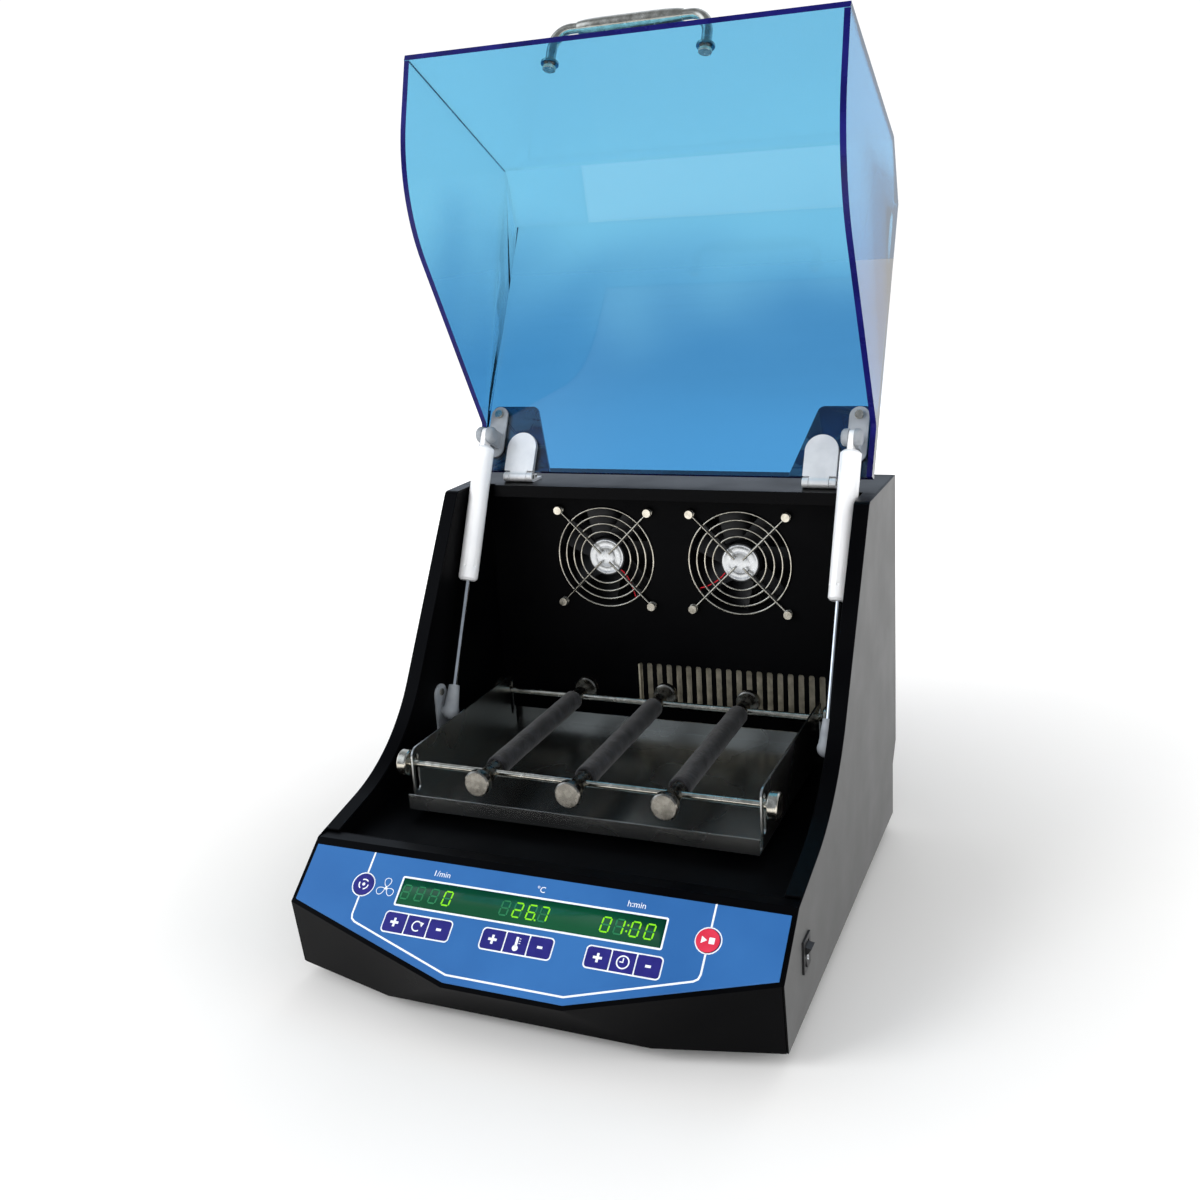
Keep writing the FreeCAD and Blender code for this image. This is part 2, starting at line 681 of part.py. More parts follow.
def chamber_back_wall():
    """Inner back wall of the chamber, with the fan holes and the air slots."""
    back = box(
        (-LINER_INSIDE, LINER_INSIDE), (BACK_WALL_Y, FAN_FRONT_Y), (FLOOR_UNDER_Z, WALL_TOP_Z - SHEET)
    )
    tools = [rod(FAN_BORE, (x, BACK_WALL_Y, FAN_Z), (0, 1, 0), LINER) for x in (-FAN_X, FAN_X)]
    for x, z in fan_screw_places():
        tools.append(rod(SCREW_RADIUS + SCREW_CLEARANCE, (x, BACK_WALL_Y, z), (0, 1, 0), LINER))
    for index in range(SLOTS):
        x = SLOT_CENTRE_X + (index - (SLOTS - 1) / 2) * SLOT_PITCH
        tools.append(
            rounded_slot(x, SLOT_WIDTH / 2, SLOT_LOW_Z, SLOT_HIGH_Z, (BACK_WALL_Y, FAN_FRONT_Y))
        )
    return drilled(back, tools)


def rounded_slot(x, radius, low, high, y):
    """A tool for an upright slot with round ends, cutting along Y."""
    depth = y[1] - y[0]
    block = box((x - radius, x + radius), y, (low + radius, high - radius))
    ends = [rod(radius, (x, y[0], z), (0, 1, 0), depth) for z in (low + radius, high - radius)]
    return block.multiFuse(ends)


def chamber_floor():
    """Floor of the chamber, turned up at the front, open round the three carrier bosses."""
    floor = box((-LINER_INSIDE, LINER_INSIDE), (LEDGE_BACK_Y, BACK_WALL_Y), (FLOOR_UNDER_Z, FLOOR_Z))
    upstand = box(
        (-LINER_INSIDE, LINER_INSIDE), (LEDGE_BACK_Y, LEDGE_BACK_Y + SHEET), (FLOOR_UNDER_Z, PANEL_TOP_Z)
    )
    holes = [
        rod(BOSS_RADIUS + ORBIT + BOSS_CLEARANCE, (x, y, FLOOR_UNDER_Z - SHEET), (0, 0, 1), SHEET * 3)
        for x, y in crank_places()
    ]
    return drilled(joined([floor, upstand]), holes)


def fan_frame(centre_x):
    """Square fan housing; its motor hub faces the chamber on four struts."""
    half = FAN_SIZE / 2
    depth = (FAN_FRONT_Y, FAN_FRONT_Y + FAN_DEPTH)
    block = box((centre_x - half, centre_x + half), depth, (FAN_Z - half, FAN_Z + half))
    corners = [edge for edge in block.Edges if edge.Vertexes[0].Y != edge.Vertexes[1].Y]
    block = block.makeFillet(FAN_CORNER, corners)
    start = (centre_x, FAN_FRONT_Y, FAN_Z)
    tools = [rod(FAN_BORE, start, (0, 1, 0), FAN_DEPTH)]
    for x, z in fan_screw_places():
        if abs(x - centre_x) < half:
            tools.append(rod(SCREW_RADIUS + SCREW_CLEARANCE, (x, FAN_FRONT_Y, z), (0, 1, 0), FAN_DEPTH))
    frame = drilled(block, tools)
    hub = rod(FAN_HUB, start, (0, 1, 0), FAN_HUB_DEPTH)
    parts = [frame, hub]
    for index in range(FAN_STRUTS):
        strut = box((FAN_HUB / 2, FAN_BORE + SHEET), (0, FAN_STRUT), (-FAN_STRUT / 2, FAN_STRUT / 2))
        strut.rotate(V(0, 0, 0), V(0, 1, 0), (index + 1 / 2) * 360 / FAN_STRUTS)
        strut.translate(V(*start))
        parts.append(strut)
    bore = rod(
        SPINDLE + RUNNING,
        (centre_x, FAN_FRONT_Y + FAN_HUB_DEPTH - SPINDLE_DEPTH, FAN_Z),
        (0, 1, 0),
        SPINDLE_DEPTH,
    )
    return joined(parts).cut(bore)


def fan_impeller(centre_x):
    """Seven-bladed rotor on a spindle that turns in the housing's hub."""
    front = FAN_FRONT_Y + FAN_HUB_DEPTH + FAN_GAP
    back = FAN_FRONT_Y + FAN_DEPTH - FAN_GAP
    middle = (front + back) / 2
    parts = [
        rod(FAN_HUB, (centre_x, front, FAN_Z), (0, 1, 0), back - front),
        rod(
            SPINDLE, (centre_x, front - FAN_GAP - SPINDLE_DEPTH + FAN_GAP / 2, FAN_Z), (0, 1, 0),
            FAN_GAP / 2 + SPINDLE_DEPTH + FAN_GAP,
        ),
    ]
    for index in range(BLADES):
        blade = box(
            (BLADE_ROOT, FAN_BORE - BLADE_CLEARANCE),
            (-BLADE_THICK / 2, BLADE_THICK / 2),
            (-BLADE_CHORD / 2, BLADE_CHORD / 2),
        )
        blade.rotate(V(0, 0, 0), V(1, 0, 0), BLADE_PITCH)
        blade.rotate(V(0, 0, 0), V(0, 1, 0), index * 360 / BLADES)
        blade.translate(V(centre_x, middle, FAN_Z))
        parts.append(blade)
    reach = rod(FAN_BORE - BLADE_CLEARANCE, (centre_x, FAN_FRONT_Y, FAN_Z), (0, 1, 0), FAN_DEPTH)
    return joined(parts).common(reach)


GUARD_WIRE = 0.9
GUARD_LAP = 0.5
GUARD_RADIUS = FAN_BORE + GUARD_LAP
GUARD_RING_GAP = 7.0
GUARD_RINGS = 4
GUARD_SPOKES = 4
GUARD_SPOKE_START = 5.0
EYELET_RADIUS = 4.2
EYELET_THICK = 3.6


def fan_guard(centre_x):
    """Chromed wire guard: four rings spot-welded behind four spokes that end in screw eyelets."""
    wall = BACK_WALL_Y
    ring_y = wall - GUARD_WIRE
    spoke_y = ring_y - GUARD_WIRE * 2
    rings = []
    for index in range(GUARD_RINGS):
        ring = Part.makeTorus(GUARD_RADIUS - index * GUARD_RING_GAP, GUARD_WIRE)
        ring.rotate(V(0, 0, 0), V(1, 0, 0), 90)
        ring.translate(V(centre_x, ring_y, FAN_Z))
        rings.append(ring)
    reach = math.hypot(FAN_PITCH / 2, FAN_PITCH / 2)
    outer = reach - EYELET_RADIUS + GUARD_WIRE
    for index in range(GUARD_SPOKES):
        start = (GUARD_SPOKE_START, spoke_y - wall, 0)
        spoke = rod(GUARD_WIRE, start, (1, 0, 0), outer - GUARD_SPOKE_START)
        start = (reach, -EYELET_THICK, 0)
        eyelet = tube(EYELET_RADIUS, SCREW_RADIUS + SCREW_CLEARANCE, start, (0, 1, 0), EYELET_THICK)
        arm = spoke.fuse(eyelet)
        arm.rotate(V(0, 0, 0), V(0, 1, 0), (index + 1 / 2) * 360 / GUARD_SPOKES)
        arm.translate(V(centre_x, wall, FAN_Z))
        rings.append(arm)
    return rings


HEATER_LENGTH = 184.0
HEATER_ROD = 3.5
HEATER_RISE = 20.0
HEATER_Y = 148.0
FIN_PITCH = 9.0
FIN_THICK = 0.8
FIN_HEIGHT = 38.0
FIN_DEPTH = 16.0
SHIELD_GAP = 4.0


def heater_element():
    """Finned U-shaped heating rod and bright shield behind the air slots, on two end brackets."""
    middle_z = (SLOT_LOW_Z + SLOT_HIGH_Z) / 2
    left = SLOT_CENTRE_X - HEATER_LENGTH / 2
    parts = []
    for z in (middle_z - HEATER_RISE / 2, middle_z + HEATER_RISE / 2):
        parts.append(rod(HEATER_ROD, (left, HEATER_Y, z), (1, 0, 0), HEATER_LENGTH))
    fins = int(HEATER_LENGTH // FIN_PITCH)
    for index in range(1, fins):
        x = left + index * HEATER_LENGTH / fins
        parts.append(
            box(
                (x - FIN_THICK / 2, x + FIN_THICK / 2),
                (HEATER_Y - FIN_DEPTH / 2, HEATER_Y + FIN_DEPTH / 2),
                (middle_z - FIN_HEIGHT / 2, middle_z + FIN_HEIGHT / 2),
            )
        )
    for x in (left, left + HEATER_LENGTH - SHEET):
        parts.append(
            box(
                (x, x + SHEET),
                (FAN_FRONT_Y, HEATER_Y + FIN_DEPTH / 2),
                (middle_z - FIN_HEIGHT / 2, middle_z + FIN_HEIGHT / 2),
            )
        )
    parts.append(
        box(
            (left, left + HEATER_LENGTH),
            (FAN_FRONT_Y + SHIELD_GAP, FAN_FRONT_Y + SHIELD_GAP + FIN_THICK),
            (middle_z - FIN_HEIGHT / 2, middle_z + FIN_HEIGHT / 2),
        )
    )
    return joined(parts)


# Orbital drive
ORBIT = 5.0
DRIVE_Y = 2.0
IDLER_X = 75.0
IDLER_SETBACK = 55.0
SHAFT = 5.0
BEARING_RADIUS = 13.0
BEARING_WIDTH = 8.0
HOUSING_RADIUS = 17.0
HOUSING_LOW_Z = 36.0
HOUSING_HIGH_Z = 66.0
FRAME_PLATE_Z = 50.0
FRAME_PLATE = 4.0
FRAME_HALF_WIDTH = 125.0
FRAME_FRONT_Y = -78.0
FRAME_BACK_Y = 98.0
LEG = 12.0
THROW_Z = 67.0
THROW_THICK = 6.0
THROW_RADIUS = 17.0
IDLER_THROW_RADIUS = 14.0
WEIGHT_RADIUS = 40.0
PIN_TOP_Z = 87.0
PULLEY_Z = 22.0
PULLEY_WIDTH = 10.0
PULLEY_RADIUS = 30.0
MOTOR_X = 92.0
MOTOR_Y = 58.0
MOTOR_RADIUS = 28.0
MOTOR_HEIGHT = 29.0
MOTOR_SHAFT = 4.0
MOTOR_SHAFT_DEPTH = 14.0
MOTOR_PULLEY_RADIUS = 12.0
BELT = 2.0
BELT_CLEARANCE = 0.3
BELT_WIDTH = 8.0
BOSS_RADIUS = 16.0
BOSS_LOW_Z = 76.0
BOSS_CLEARANCE = 3.0
CARRIER_THICK = 3.0
CARRIER_HALF_WIDTH = 100.0
CARRIER_MARGIN = 22.0


def crank_places():
    """Centres of the driven crank and the two idler cranks."""
    return [(0, DRIVE_Y), (-IDLER_X, DRIVE_Y - IDLER_SETBACK), (IDLER_X, DRIVE_Y - IDLER_SETBACK)]


def drive_frame():
    """Plate on four legs with a bearing housing for each crank."""
    plate = box(
        (-FRAME_HALF_WIDTH, FRAME_HALF_WIDTH),
        (FRAME_FRONT_Y, FRAME_BACK_Y),
        (FRAME_PLATE_Z, FRAME_PLATE_Z + FRAME_PLATE),
    )
    parts = [plate]
    for x in (-FRAME_HALF_WIDTH, FRAME_HALF_WIDTH - LEG):
        for y in (FRAME_FRONT_Y, FRAME_BACK_Y - LEG):
            parts.append(box((x, x + LEG), (y, y + LEG), (CASE_BOTTOM + SHEET, FRAME_PLATE_Z)))
    height = HOUSING_HIGH_Z - HOUSING_LOW_Z
    tools = []
    for x, y in crank_places():
        parts.append(rod(HOUSING_RADIUS, (x, y, HOUSING_LOW_Z), (0, 0, 1), height))
        tools.append(rod(BEARING_RADIUS, (x, y, HOUSING_LOW_Z), (0, 0, 1), height))
    tools.append(rod(MOTOR_SHAFT * 2, (MOTOR_X, MOTOR_Y, FRAME_PLATE_Z), (0, 0, 1), FRAME_PLATE))
    return drilled(joined(parts), tools)


def bearing(x, y, z):
    return tube(BEARING_RADIUS, SHAFT + RUNNING, (x, y, z), (0, 0, 1), BEARING_WIDTH)


def frame_bearings():
    """Two ball bearings in each housing."""
    rings = []
    for x, y in crank_places():
        rings.append(bearing(x, y, HOUSING_LOW_Z + SHEET))
        rings.append(bearing(x, y, HOUSING_HIGH_Z - SHEET - BEARING_WIDTH))
    return rings


def crank(x, y, throw_radius, shaft_low):
    """Shaft, throw and pin; the pin stands forward of the shaft by the orbit radius."""
    return joined(
        [
            rod(SHAFT, (x, y, shaft_low), (0, 0, 1), THROW_Z - shaft_low),
            rod(throw_radius, (x, y, THROW_Z), (0, 0, 1), THROW_THICK),
            rod(SHAFT, (x, y - ORBIT, THROW_Z), (0, 0, 1), PIN_TOP_Z - THROW_Z),
        ]
    )


def drive_crank():
    """The driven crank with its counterweight, and the large pulley on its lower end."""
    x, y = crank_places()[0]
    body = crank(x, y, THROW_RADIUS, PULLEY_Z)
    weight = rod(WEIGHT_RADIUS, (x, y, THROW_Z), (0, 0, 1), THROW_THICK)
    half = box((-WEIGHT_RADIUS, WEIGHT_RADIUS), (y, y + WEIGHT_RADIUS), (THROW_Z, THROW_Z + THROW_THICK))
    pulley = tube(PULLEY_RADIUS, SHAFT, (x, y, PULLEY_Z), (0, 0, 1), PULLEY_WIDTH)
    return [joined([body, weight.common(half)]), pulley]


def idler_crank(index):
    x, y = crank_places()[index]
    return crank(x, y, IDLER_THROW_RADIUS, HOUSING_LOW_Z)


def drive_motor():
    """Flat brushless motor standing on the frame plate."""
    low = FRAME_PLATE_Z + FRAME_PLATE
    body = turned(MOTOR_RADIUS, (MOTOR_X, MOTOR_Y, low), (0, 0, 1), MOTOR_HEIGHT, SHEET)
    bore = rod(
        MOTOR_SHAFT + RUNNING, (MOTOR_X, MOTOR_Y, low), (0, 0, 1), MOTOR_SHAFT_DEPTH + RUNNING
    )
    return body.cut(bore)


def motor_pulley():
    """Motor shaft and the small pulley on its lower end."""
    top = FRAME_PLATE_Z + FRAME_PLATE + MOTOR_SHAFT_DEPTH
    shaft = rod(MOTOR_SHAFT, (MOTOR_X, MOTOR_Y, PULLEY_Z), (0, 0, 1), top - PULLEY_Z)
    wheel = rod(MOTOR_PULLEY_RADIUS, (MOTOR_X, MOTOR_Y, PULLEY_Z), (0, 0, 1), PULLEY_WIDTH)
    return shaft.fuse(wheel)


def belt_loop(grow):
    """The area inside a belt line that lies grow outside both pulleys."""
    x, y = crank_places()[0]
    run = math.hypot(MOTOR_X - x, MOTOR_Y - y)
    heading = math.atan2(MOTOR_Y - y, MOTOR_X - x)
    lean = math.acos((PULLEY_RADIUS - MOTOR_PULLEY_RADIUS) / run)
    corners = []
    for angle in (heading + lean, heading - lean):
        big = PULLEY_RADIUS + grow
        small = MOTOR_PULLEY_RADIUS + grow
        pair = [
            V(x + big * math.cos(angle), y + big * math.sin(angle), 0),
            V(MOTOR_X + small * math.cos(angle), MOTOR_Y + small * math.sin(angle), 0),
        ]
        corners += pair if angle > heading else pair[::-1]
    web = Part.Face(Part.makePolygon(corners + corners[:1])).extrude(V(0, 0, BELT_WIDTH))
    big_end = rod(PULLEY_RADIUS + grow, (x, y, 0), (0, 0, 1), BELT_WIDTH)
    small_end = rod(MOTOR_PULLEY_RADIUS + grow, (MOTOR_X, MOTOR_Y, 0), (0, 0, 1), BELT_WIDTH)
    return joined([web, big_end, small_end])


def drive_belt():
    belt = belt_loop(BELT_CLEARANCE + BELT).cut(belt_loop(BELT_CLEARANCE))
    belt.translate(V(0, 0, PULLEY_Z + (PULLEY_WIDTH - BELT_WIDTH) / 2))
    return belt


def tray_carrier():
    """Plate under the tray with a bearing boss over each crank pin."""
    centres = [(x, y - ORBIT) for x, y in crank_places()]
    low = min(y for _, y in centres) - CARRIER_MARGIN
    high = max(y for _, y in centres) + CARRIER_MARGIN * 2
    parts = [
        box(
            (-CARRIER_HALF_WIDTH, CARRIER_HALF_WIDTH),
            (low, high),
            (TRAY_Z - CARRIER_THICK, TRAY_Z),
        )
    ]
    tools = []
    for x, y in centres:
        top = TRAY_Z - CARRIER_THICK
        parts.append(rod(BOSS_RADIUS, (x, y, BOSS_LOW_Z), (0, 0, 1), top - BOSS_LOW_Z))
        depth = PIN_TOP_Z + SHEET - BOSS_LOW_Z
        tools.append(rod(BEARING_RADIUS, (x, y, BOSS_LOW_Z), (0, 0, 1), depth))
    return drilled(joined(parts), tools)


def carrier_bearings():
    return [bearing(x, y - ORBIT, BOSS_LOW_Z + SHEET) for x, y in crank_places()]


# Tray and the clamp bars with their foam rollers
TRAY_Z = 94.5
TRAY_SIDE_GAP = 30.4
TRAY_HALF_DEPTH = 96.3
TRAY_LIP = 12.0
TRAY_WALL = 45.0
TRAY_WALL_SETBACK = 8.0
TRAY_WALL_CORNER = 7.0
BAR_RADIUS = 2.5
BAR_Z = 126.4
BAR_INSET = 13.8
BAR_SLOT = 2.8
BAR_SLOT_LOW = 104.5
BAR_SLOT_HIGH = 134.6
BAR_KNOB = 10.0
BAR_KNOB_THICK = 8.0
BAR_NECK = 4.0
BAR_NECK_LENGTH = 3.0
KNOB_CHAMFER = 1.0
ROLLERS = 3
ROLLER_PITCH = 72.7
ROLLER_RADIUS = 6.0
ROLLER_OVERHANG = 7.0
ROLLER_NECK = 3.0
ROLLER_NECK_LENGTH = 9.5
ROLLER_KNOB_THICK = 7.0
FOAM_RADIUS = 8.5
FOAM_SETBACK = 8.5
TRAY_Y = DRIVE_Y - ORBIT
TRAY_HALF_WIDTH = LINER_INSIDE - TRAY_SIDE_GAP


def bar_places():
    return (TRAY_Y - TRAY_HALF_DEPTH + BAR_INSET, TRAY_Y + TRAY_HALF_DEPTH - BAR_INSET)


def tray():
    """Stainless tray: low lips front and back, high slotted walls at the sides."""
    front, back = TRAY_Y - TRAY_HALF_DEPTH, TRAY_Y + TRAY_HALF_DEPTH
    across = (-TRAY_HALF_WIDTH, TRAY_HALF_WIDTH)
    parts = [
        box(across, (front, back), (TRAY_Z, TRAY_Z + SHEET)),
        box(across, (front, front + SHEET), (TRAY_Z, TRAY_Z + TRAY_LIP)),
        box(across, (back - SHEET, back), (TRAY_Z, TRAY_Z + TRAY_LIP)),
    ]
    wall = box(
        (TRAY_HALF_WIDTH - SHEET, TRAY_HALF_WIDTH),
        (front + TRAY_WALL_SETBACK, back - TRAY_WALL_SETBACK),
        (TRAY_Z, TRAY_Z + TRAY_WALL),
    )
    top_ends = [
        edge for edge in wall.Edges
        if abs(edge.Length - SHEET) < RUNNING and edge.CenterOfMass.z > TRAY_Z + TRAY_WALL / 2
    ]
    wall = wall.makeFillet(TRAY_WALL_CORNER, top_ends)
    depth = SHEET * 4
    for y in bar_places():
        slot = rounded_slot(0, BAR_SLOT, BAR_SLOT_LOW, BAR_SLOT_HIGH, (0, depth))
        slot.rotate(V(0, 0, 0), V(0, 0, 1), -90)
        slot.translate(V(TRAY_HALF_WIDTH - depth / 2, y, 0))
        wall = wall.cut(slot)
    return joined(parts + both_sides(wall))


def turned(radius, start, along, length, chamfer):
    """A cylinder with both rims chamfered."""
    block = rod(radius, start, along, length)
    rims = [edge for edge in block.Edges if edge.Curve.TypeId == "Part::GeomCircle"]
    return block.makeChamfer(chamfer, rims)


def clamp_bars():
    """The two cross bars that ride in the tray wall slots, with a clamping knob on each end."""
    bars = []
    wall = TRAY_HALF_WIDTH + SIDE_PLAY
    for y in bar_places():
        parts = [rod(BAR_RADIUS, (-wall, y, BAR_Z), (1, 0, 0), wall * 2)]
        for side in (-1, 1):
            start = (side * wall, y, BAR_Z)
            parts.append(rod(BAR_NECK, start, (side, 0, 0), BAR_NECK_LENGTH))
            start = (side * (wall + BAR_NECK_LENGTH), y, BAR_Z)
            parts.append(turned(BAR_KNOB, start, (side, 0, 0), BAR_KNOB_THICK, KNOB_CHAMFER))
        bars.append(joined(parts))
    return bars


def roller_x(index):
    return (index - (ROLLERS - 1) / 2) * ROLLER_PITCH


def roller_bar(index):
    """Steel core of a foam roller, cross drilled for both clamp bars, with a knob at each end."""
    x = roller_x(index)
    front, back = bar_places()
    low, high = front - ROLLER_OVERHANG, back + ROLLER_OVERHANG
    parts = [rod(ROLLER_RADIUS, (x, low, BAR_Z), (0, 1, 0), high - low)]
    for end, way in ((low, -1), (high, 1)):
        parts.append(rod(ROLLER_NECK, (x, end, BAR_Z), (0, way, 0), ROLLER_NECK_LENGTH))
        start = (x, end + way * ROLLER_NECK_LENGTH, BAR_Z)
        parts.append(turned(BAR_KNOB, start, (0, way, 0), ROLLER_KNOB_THICK, KNOB_CHAMFER))
    tools = [
        rod(BAR_RADIUS + RUNNING * 2, (x - BAR_KNOB, y, BAR_Z), (1, 0, 0), BAR_KNOB * 2)
        for y in (front, back)
    ]
    return drilled(joined(parts), tools)


def foam_sleeve(index):
    front, back = bar_places()
    start = (roller_x(index), front + FOAM_SETBACK, BAR_Z)
    return tube(FOAM_RADIUS, ROLLER_RADIUS, start, (0, 1, 0), back - front - FOAM_SETBACK * 2)


# Lid, drawn closed
LID_INSET = 7.0
LID_SHEET = 4.5
LID_FRONT_Y = -159.0
LID_FRONT_GAP = 1.5
LID_CHAMFER_RUN = 37.0
LID_CHAMFER_DROP = 41.0
LID_EDGE_GAP = 0.8
LID_OPEN_ANGLE = 117.7
HINGE_Y = 116.5
HINGE_KNUCKLE = 4.2
HINGE_LIFT = 4.3
HINGE_PIN = 2.0
LEAF = 4.0
COVER_END_GAP = 5.0
LEAF_LENGTH = 34.0
LEAF_WIDTH = 27.0
KNUCKLE_LENGTH = 16.0
KNUCKLE_GAP = 0.4
FIXED_LEAF_DEPTH = 17.0
FIXED_LEAF = 2.0
BACKING = 2.5
BACKING_LENGTH = 60.0
BACKING_TO_EDGE = 5.0
BACKING_LOW_WIDTH = 63.0
BACKING_TOP_WIDTH = 43.0
BACKING_CORNER = 6.0
BACKING_SETBACK = 1.5
HINGE_SCREW_NEAR = 9.0
HINGE_SCREW_FAR = 23.0
HINGE_SCREW_DEPTH = 3.0
FIXED_SCREW_Y = 11.0
FIXED_SCREW_X = 8.0
STRUT_TO_WALL = 10.0
STRUT_TO_HINGE = 27.0
PIVOT_FORWARD = 31.3
PIVOT_DROP = 19.9
PIVOT_PIN = 2.5
EAR_RADIUS = 7.0
EAR_THICK = 6.0
EAR_DOME = 3.5
BRACKET_THICK = 2.0
BRACKET_CENTRE = 35.0
BRACKET_LENGTH = 46.0
BRACKET_WIDTH = 16.0
BRACKET_SCREW = 51.0
HANDLE_HALF = 62.0
HANDLE_UP = 29.0
HANDLE_REACH = 26.0
HANDLE_ROD = 4.0
HANDLE_FLANGE = 7.0
HANDLE_FLANGE_THICK = 2.0
GRIP_RADIUS = 6.0
GRIP_HALF = 42.0
HANDLE_SCREW_HEAD = 5.0
HANDLE_SCREW_DEPTH = 12.0

LID_HALF = CASE_HALF - LID_INSET
STRUT_X = LID_HALF - LID_SHEET - STRUT_TO_WALL
HINGE_X = STRUT_X - STRUT_TO_HINGE
BACKING_OUTER_X = LID_HALF - BACKING_TO_EDGE
HINGE_Z = WALL_TOP_Z + HINGE_LIFT
LEAF_LOW_Z = WALL_TOP_Z + LID_EDGE_GAP
COVER_UNDER_Z = LEAF_LOW_Z + LEAF
COVER_TOP_Z = COVER_UNDER_Z + LID_SHEET
COVER_END_Y = HINGE_Y - COVER_END_GAP
HANDLE_Z = PANEL_TOP_Z + LID_FRONT_GAP + HANDLE_UP


def opened(shape):
    """Turn a shape drawn with the lid closed to where it is with the lid open."""
    turned_shape = shape.copy()
    turned_shape.rotate(V(0, HINGE_Y, HINGE_Z), V(1, 0, 0), -LID_OPEN_ANGLE)
    return turned_shape


def lid_outline():
    """The bent cover's outer line from its front edge up, over and back to the hinge."""
    return [
        (LID_FRONT_Y, PANEL_TOP_Z + LID_FRONT_GAP),
        (LID_FRONT_Y, COVER_TOP_Z - LID_CHAMFER_DROP),
        (LID_FRONT_Y + LID_CHAMFER_RUN, COVER_TOP_Z),
        (COVER_END_Y, COVER_TOP_Z),
    ]


def lid_cover():
    """One clear sheet, bent twice: front, chamfer and top."""
    cover = section_x(bent_sheet(lid_outline(), LID_SHEET), -LID_HALF, LID_HALF)
    tools = [rod(SCREW_RADIUS + SCREW_CLEARANCE, s, a, OVERRUN) for s, a in lid_screw_places()]
    return opened(drilled(cover, tools))


def lid_sides():
    """The clear side walls; their free edges follow the swept edges of the case."""
    sheet = bent_sheet(lid_outline(), LID_SHEET)
    low = PANEL_TOP_Z + LID_FRONT_GAP
    inside = sheet[len(lid_outline()):] + [(COVER_END_Y, low)]
    room = section_x(inside, LID_HALF - LID_SHEET, LID_HALF)
    wall = wall_profile(-LID_EDGE_GAP, LID_HALF - LID_SHEET - LID_EDGE_GAP)
    side = room.cut(wall.extrude(V(LID_SHEET + LID_EDGE_GAP * 2, 0, 0)))
    return [opened(half) for half in both_sides(side)]


def lid_screw_places():
    """Start point and direction of each screw through the lid sheet, side by side."""
    places = []
    for side in (-1, 1):
        start = (side * HANDLE_HALF, LID_FRONT_Y - OVERRUN / 2, HANDLE_Z)
        places.append((start, (0, 1, 0)))
        for x, y in cover_screw_places(side):
            places.append(((x, y, COVER_UNDER_Z - OVERRUN / 2), (0, 0, 1)))
    return places


def cover_screw_places(side):
    """Screws through the cover: one in the strut bracket, two in the hinge plates."""
    return [
        (side * STRUT_X, COVER_END_Y - BRACKET_SCREW),
        (side * HINGE_X, COVER_END_Y - HINGE_SCREW_NEAR),
        (side * HINGE_X, COVER_END_Y - HINGE_SCREW_FAR),
    ]


def hinge_leaf():
    """Arched leaf of one lid hinge: plain inside, tapped outside, with the middle knuckle."""
    half = LEAF_WIDTH / 2
    free_y = COVER_END_Y - LEAF_LENGTH
    across = (HINGE_X - half, HINGE_X + half)
    plate = box(across, (free_y + half, HINGE_Y), (LEAF_LOW_Z, COVER_UNDER_Z))
    arch = rod(half, (HINGE_X, free_y + half, LEAF_LOW_Z), (0, 0, 1), LEAF)
    barrel = (HINGE_X - KNUCKLE_LENGTH / 2, HINGE_Y, HINGE_Z)
    knuckle = rod(HINGE_KNUCKLE, barrel, (1, 0, 0), KNUCKLE_LENGTH)
    end_y = HINGE_Y - HINGE_KNUCKLE - KNUCKLE_GAP
    middle = KNUCKLE_LENGTH / 2
    slots = [
        box((HINGE_X - half, HINGE_X - middle), (end_y, HINGE_Y), (LEAF_LOW_Z, COVER_UNDER_Z)),
        box((HINGE_X + middle, HINGE_X + half), (end_y, HINGE_Y), (LEAF_LOW_Z, COVER_UNDER_Z)),
    ]
    body = drilled(joined([plate, arch]), slots).fuse(knuckle)
    tools = [rod(HINGE_PIN + RUNNING, barrel, (1, 0, 0), KNUCKLE_LENGTH)]
    for reach in (HINGE_SCREW_NEAR, HINGE_SCREW_FAR):
        start = (HINGE_X, COVER_END_Y - reach, COVER_UNDER_Z)
        tools.append(rod(SCREW_RADIUS, start, (0, 0, -1), HINGE_SCREW_DEPTH))
    return drilled(body, tools)


def backing_plate():
    """Plate outside the cover that the hinge and bracket screws pull against."""
    near, far = COVER_END_Y - BACKING_SETBACK, COVER_END_Y - BACKING_LENGTH
    corners = [
        V(BACKING_OUTER_X - BACKING_LOW_WIDTH, near, COVER_TOP_Z),
        V(BACKING_OUTER_X, near, COVER_TOP_Z),
        V(BACKING_OUTER_X, far, COVER_TOP_Z),
        V(BACKING_OUTER_X - BACKING_TOP_WIDTH, far, COVER_TOP_Z),
    ]
    plate = Part.Face(Part.makePolygon(corners + corners[:1])).extrude(V(0, 0, BACKING))
    upright = [
        edge for edge in plate.Edges
        if edge.Vertexes[0].Z != edge.Vertexes[1].Z and edge.Vertexes[0].Y < (near + far) / 2
    ]
    plate = plate.makeFillet(BACKING_CORNER, upright)
    bracket, *hinge = cover_screw_places(1)
    tools = [rod(SCREW_RADIUS, (*bracket, COVER_TOP_Z), (0, 0, 1), BACKING)]
    for x, y in hinge:
        tools.append(rod(SCREW_RADIUS + SCREW_CLEARANCE, (x, y, COVER_TOP_Z), (0, 0, 1), BACKING))
    return drilled(plate, tools)


def lid_hinge_plates():
    """The moving hinge leaves and the backing plates outside the cover."""
    return [opened(half) for shape in (hinge_leaf(), backing_plate()) for half in both_sides(shape)]


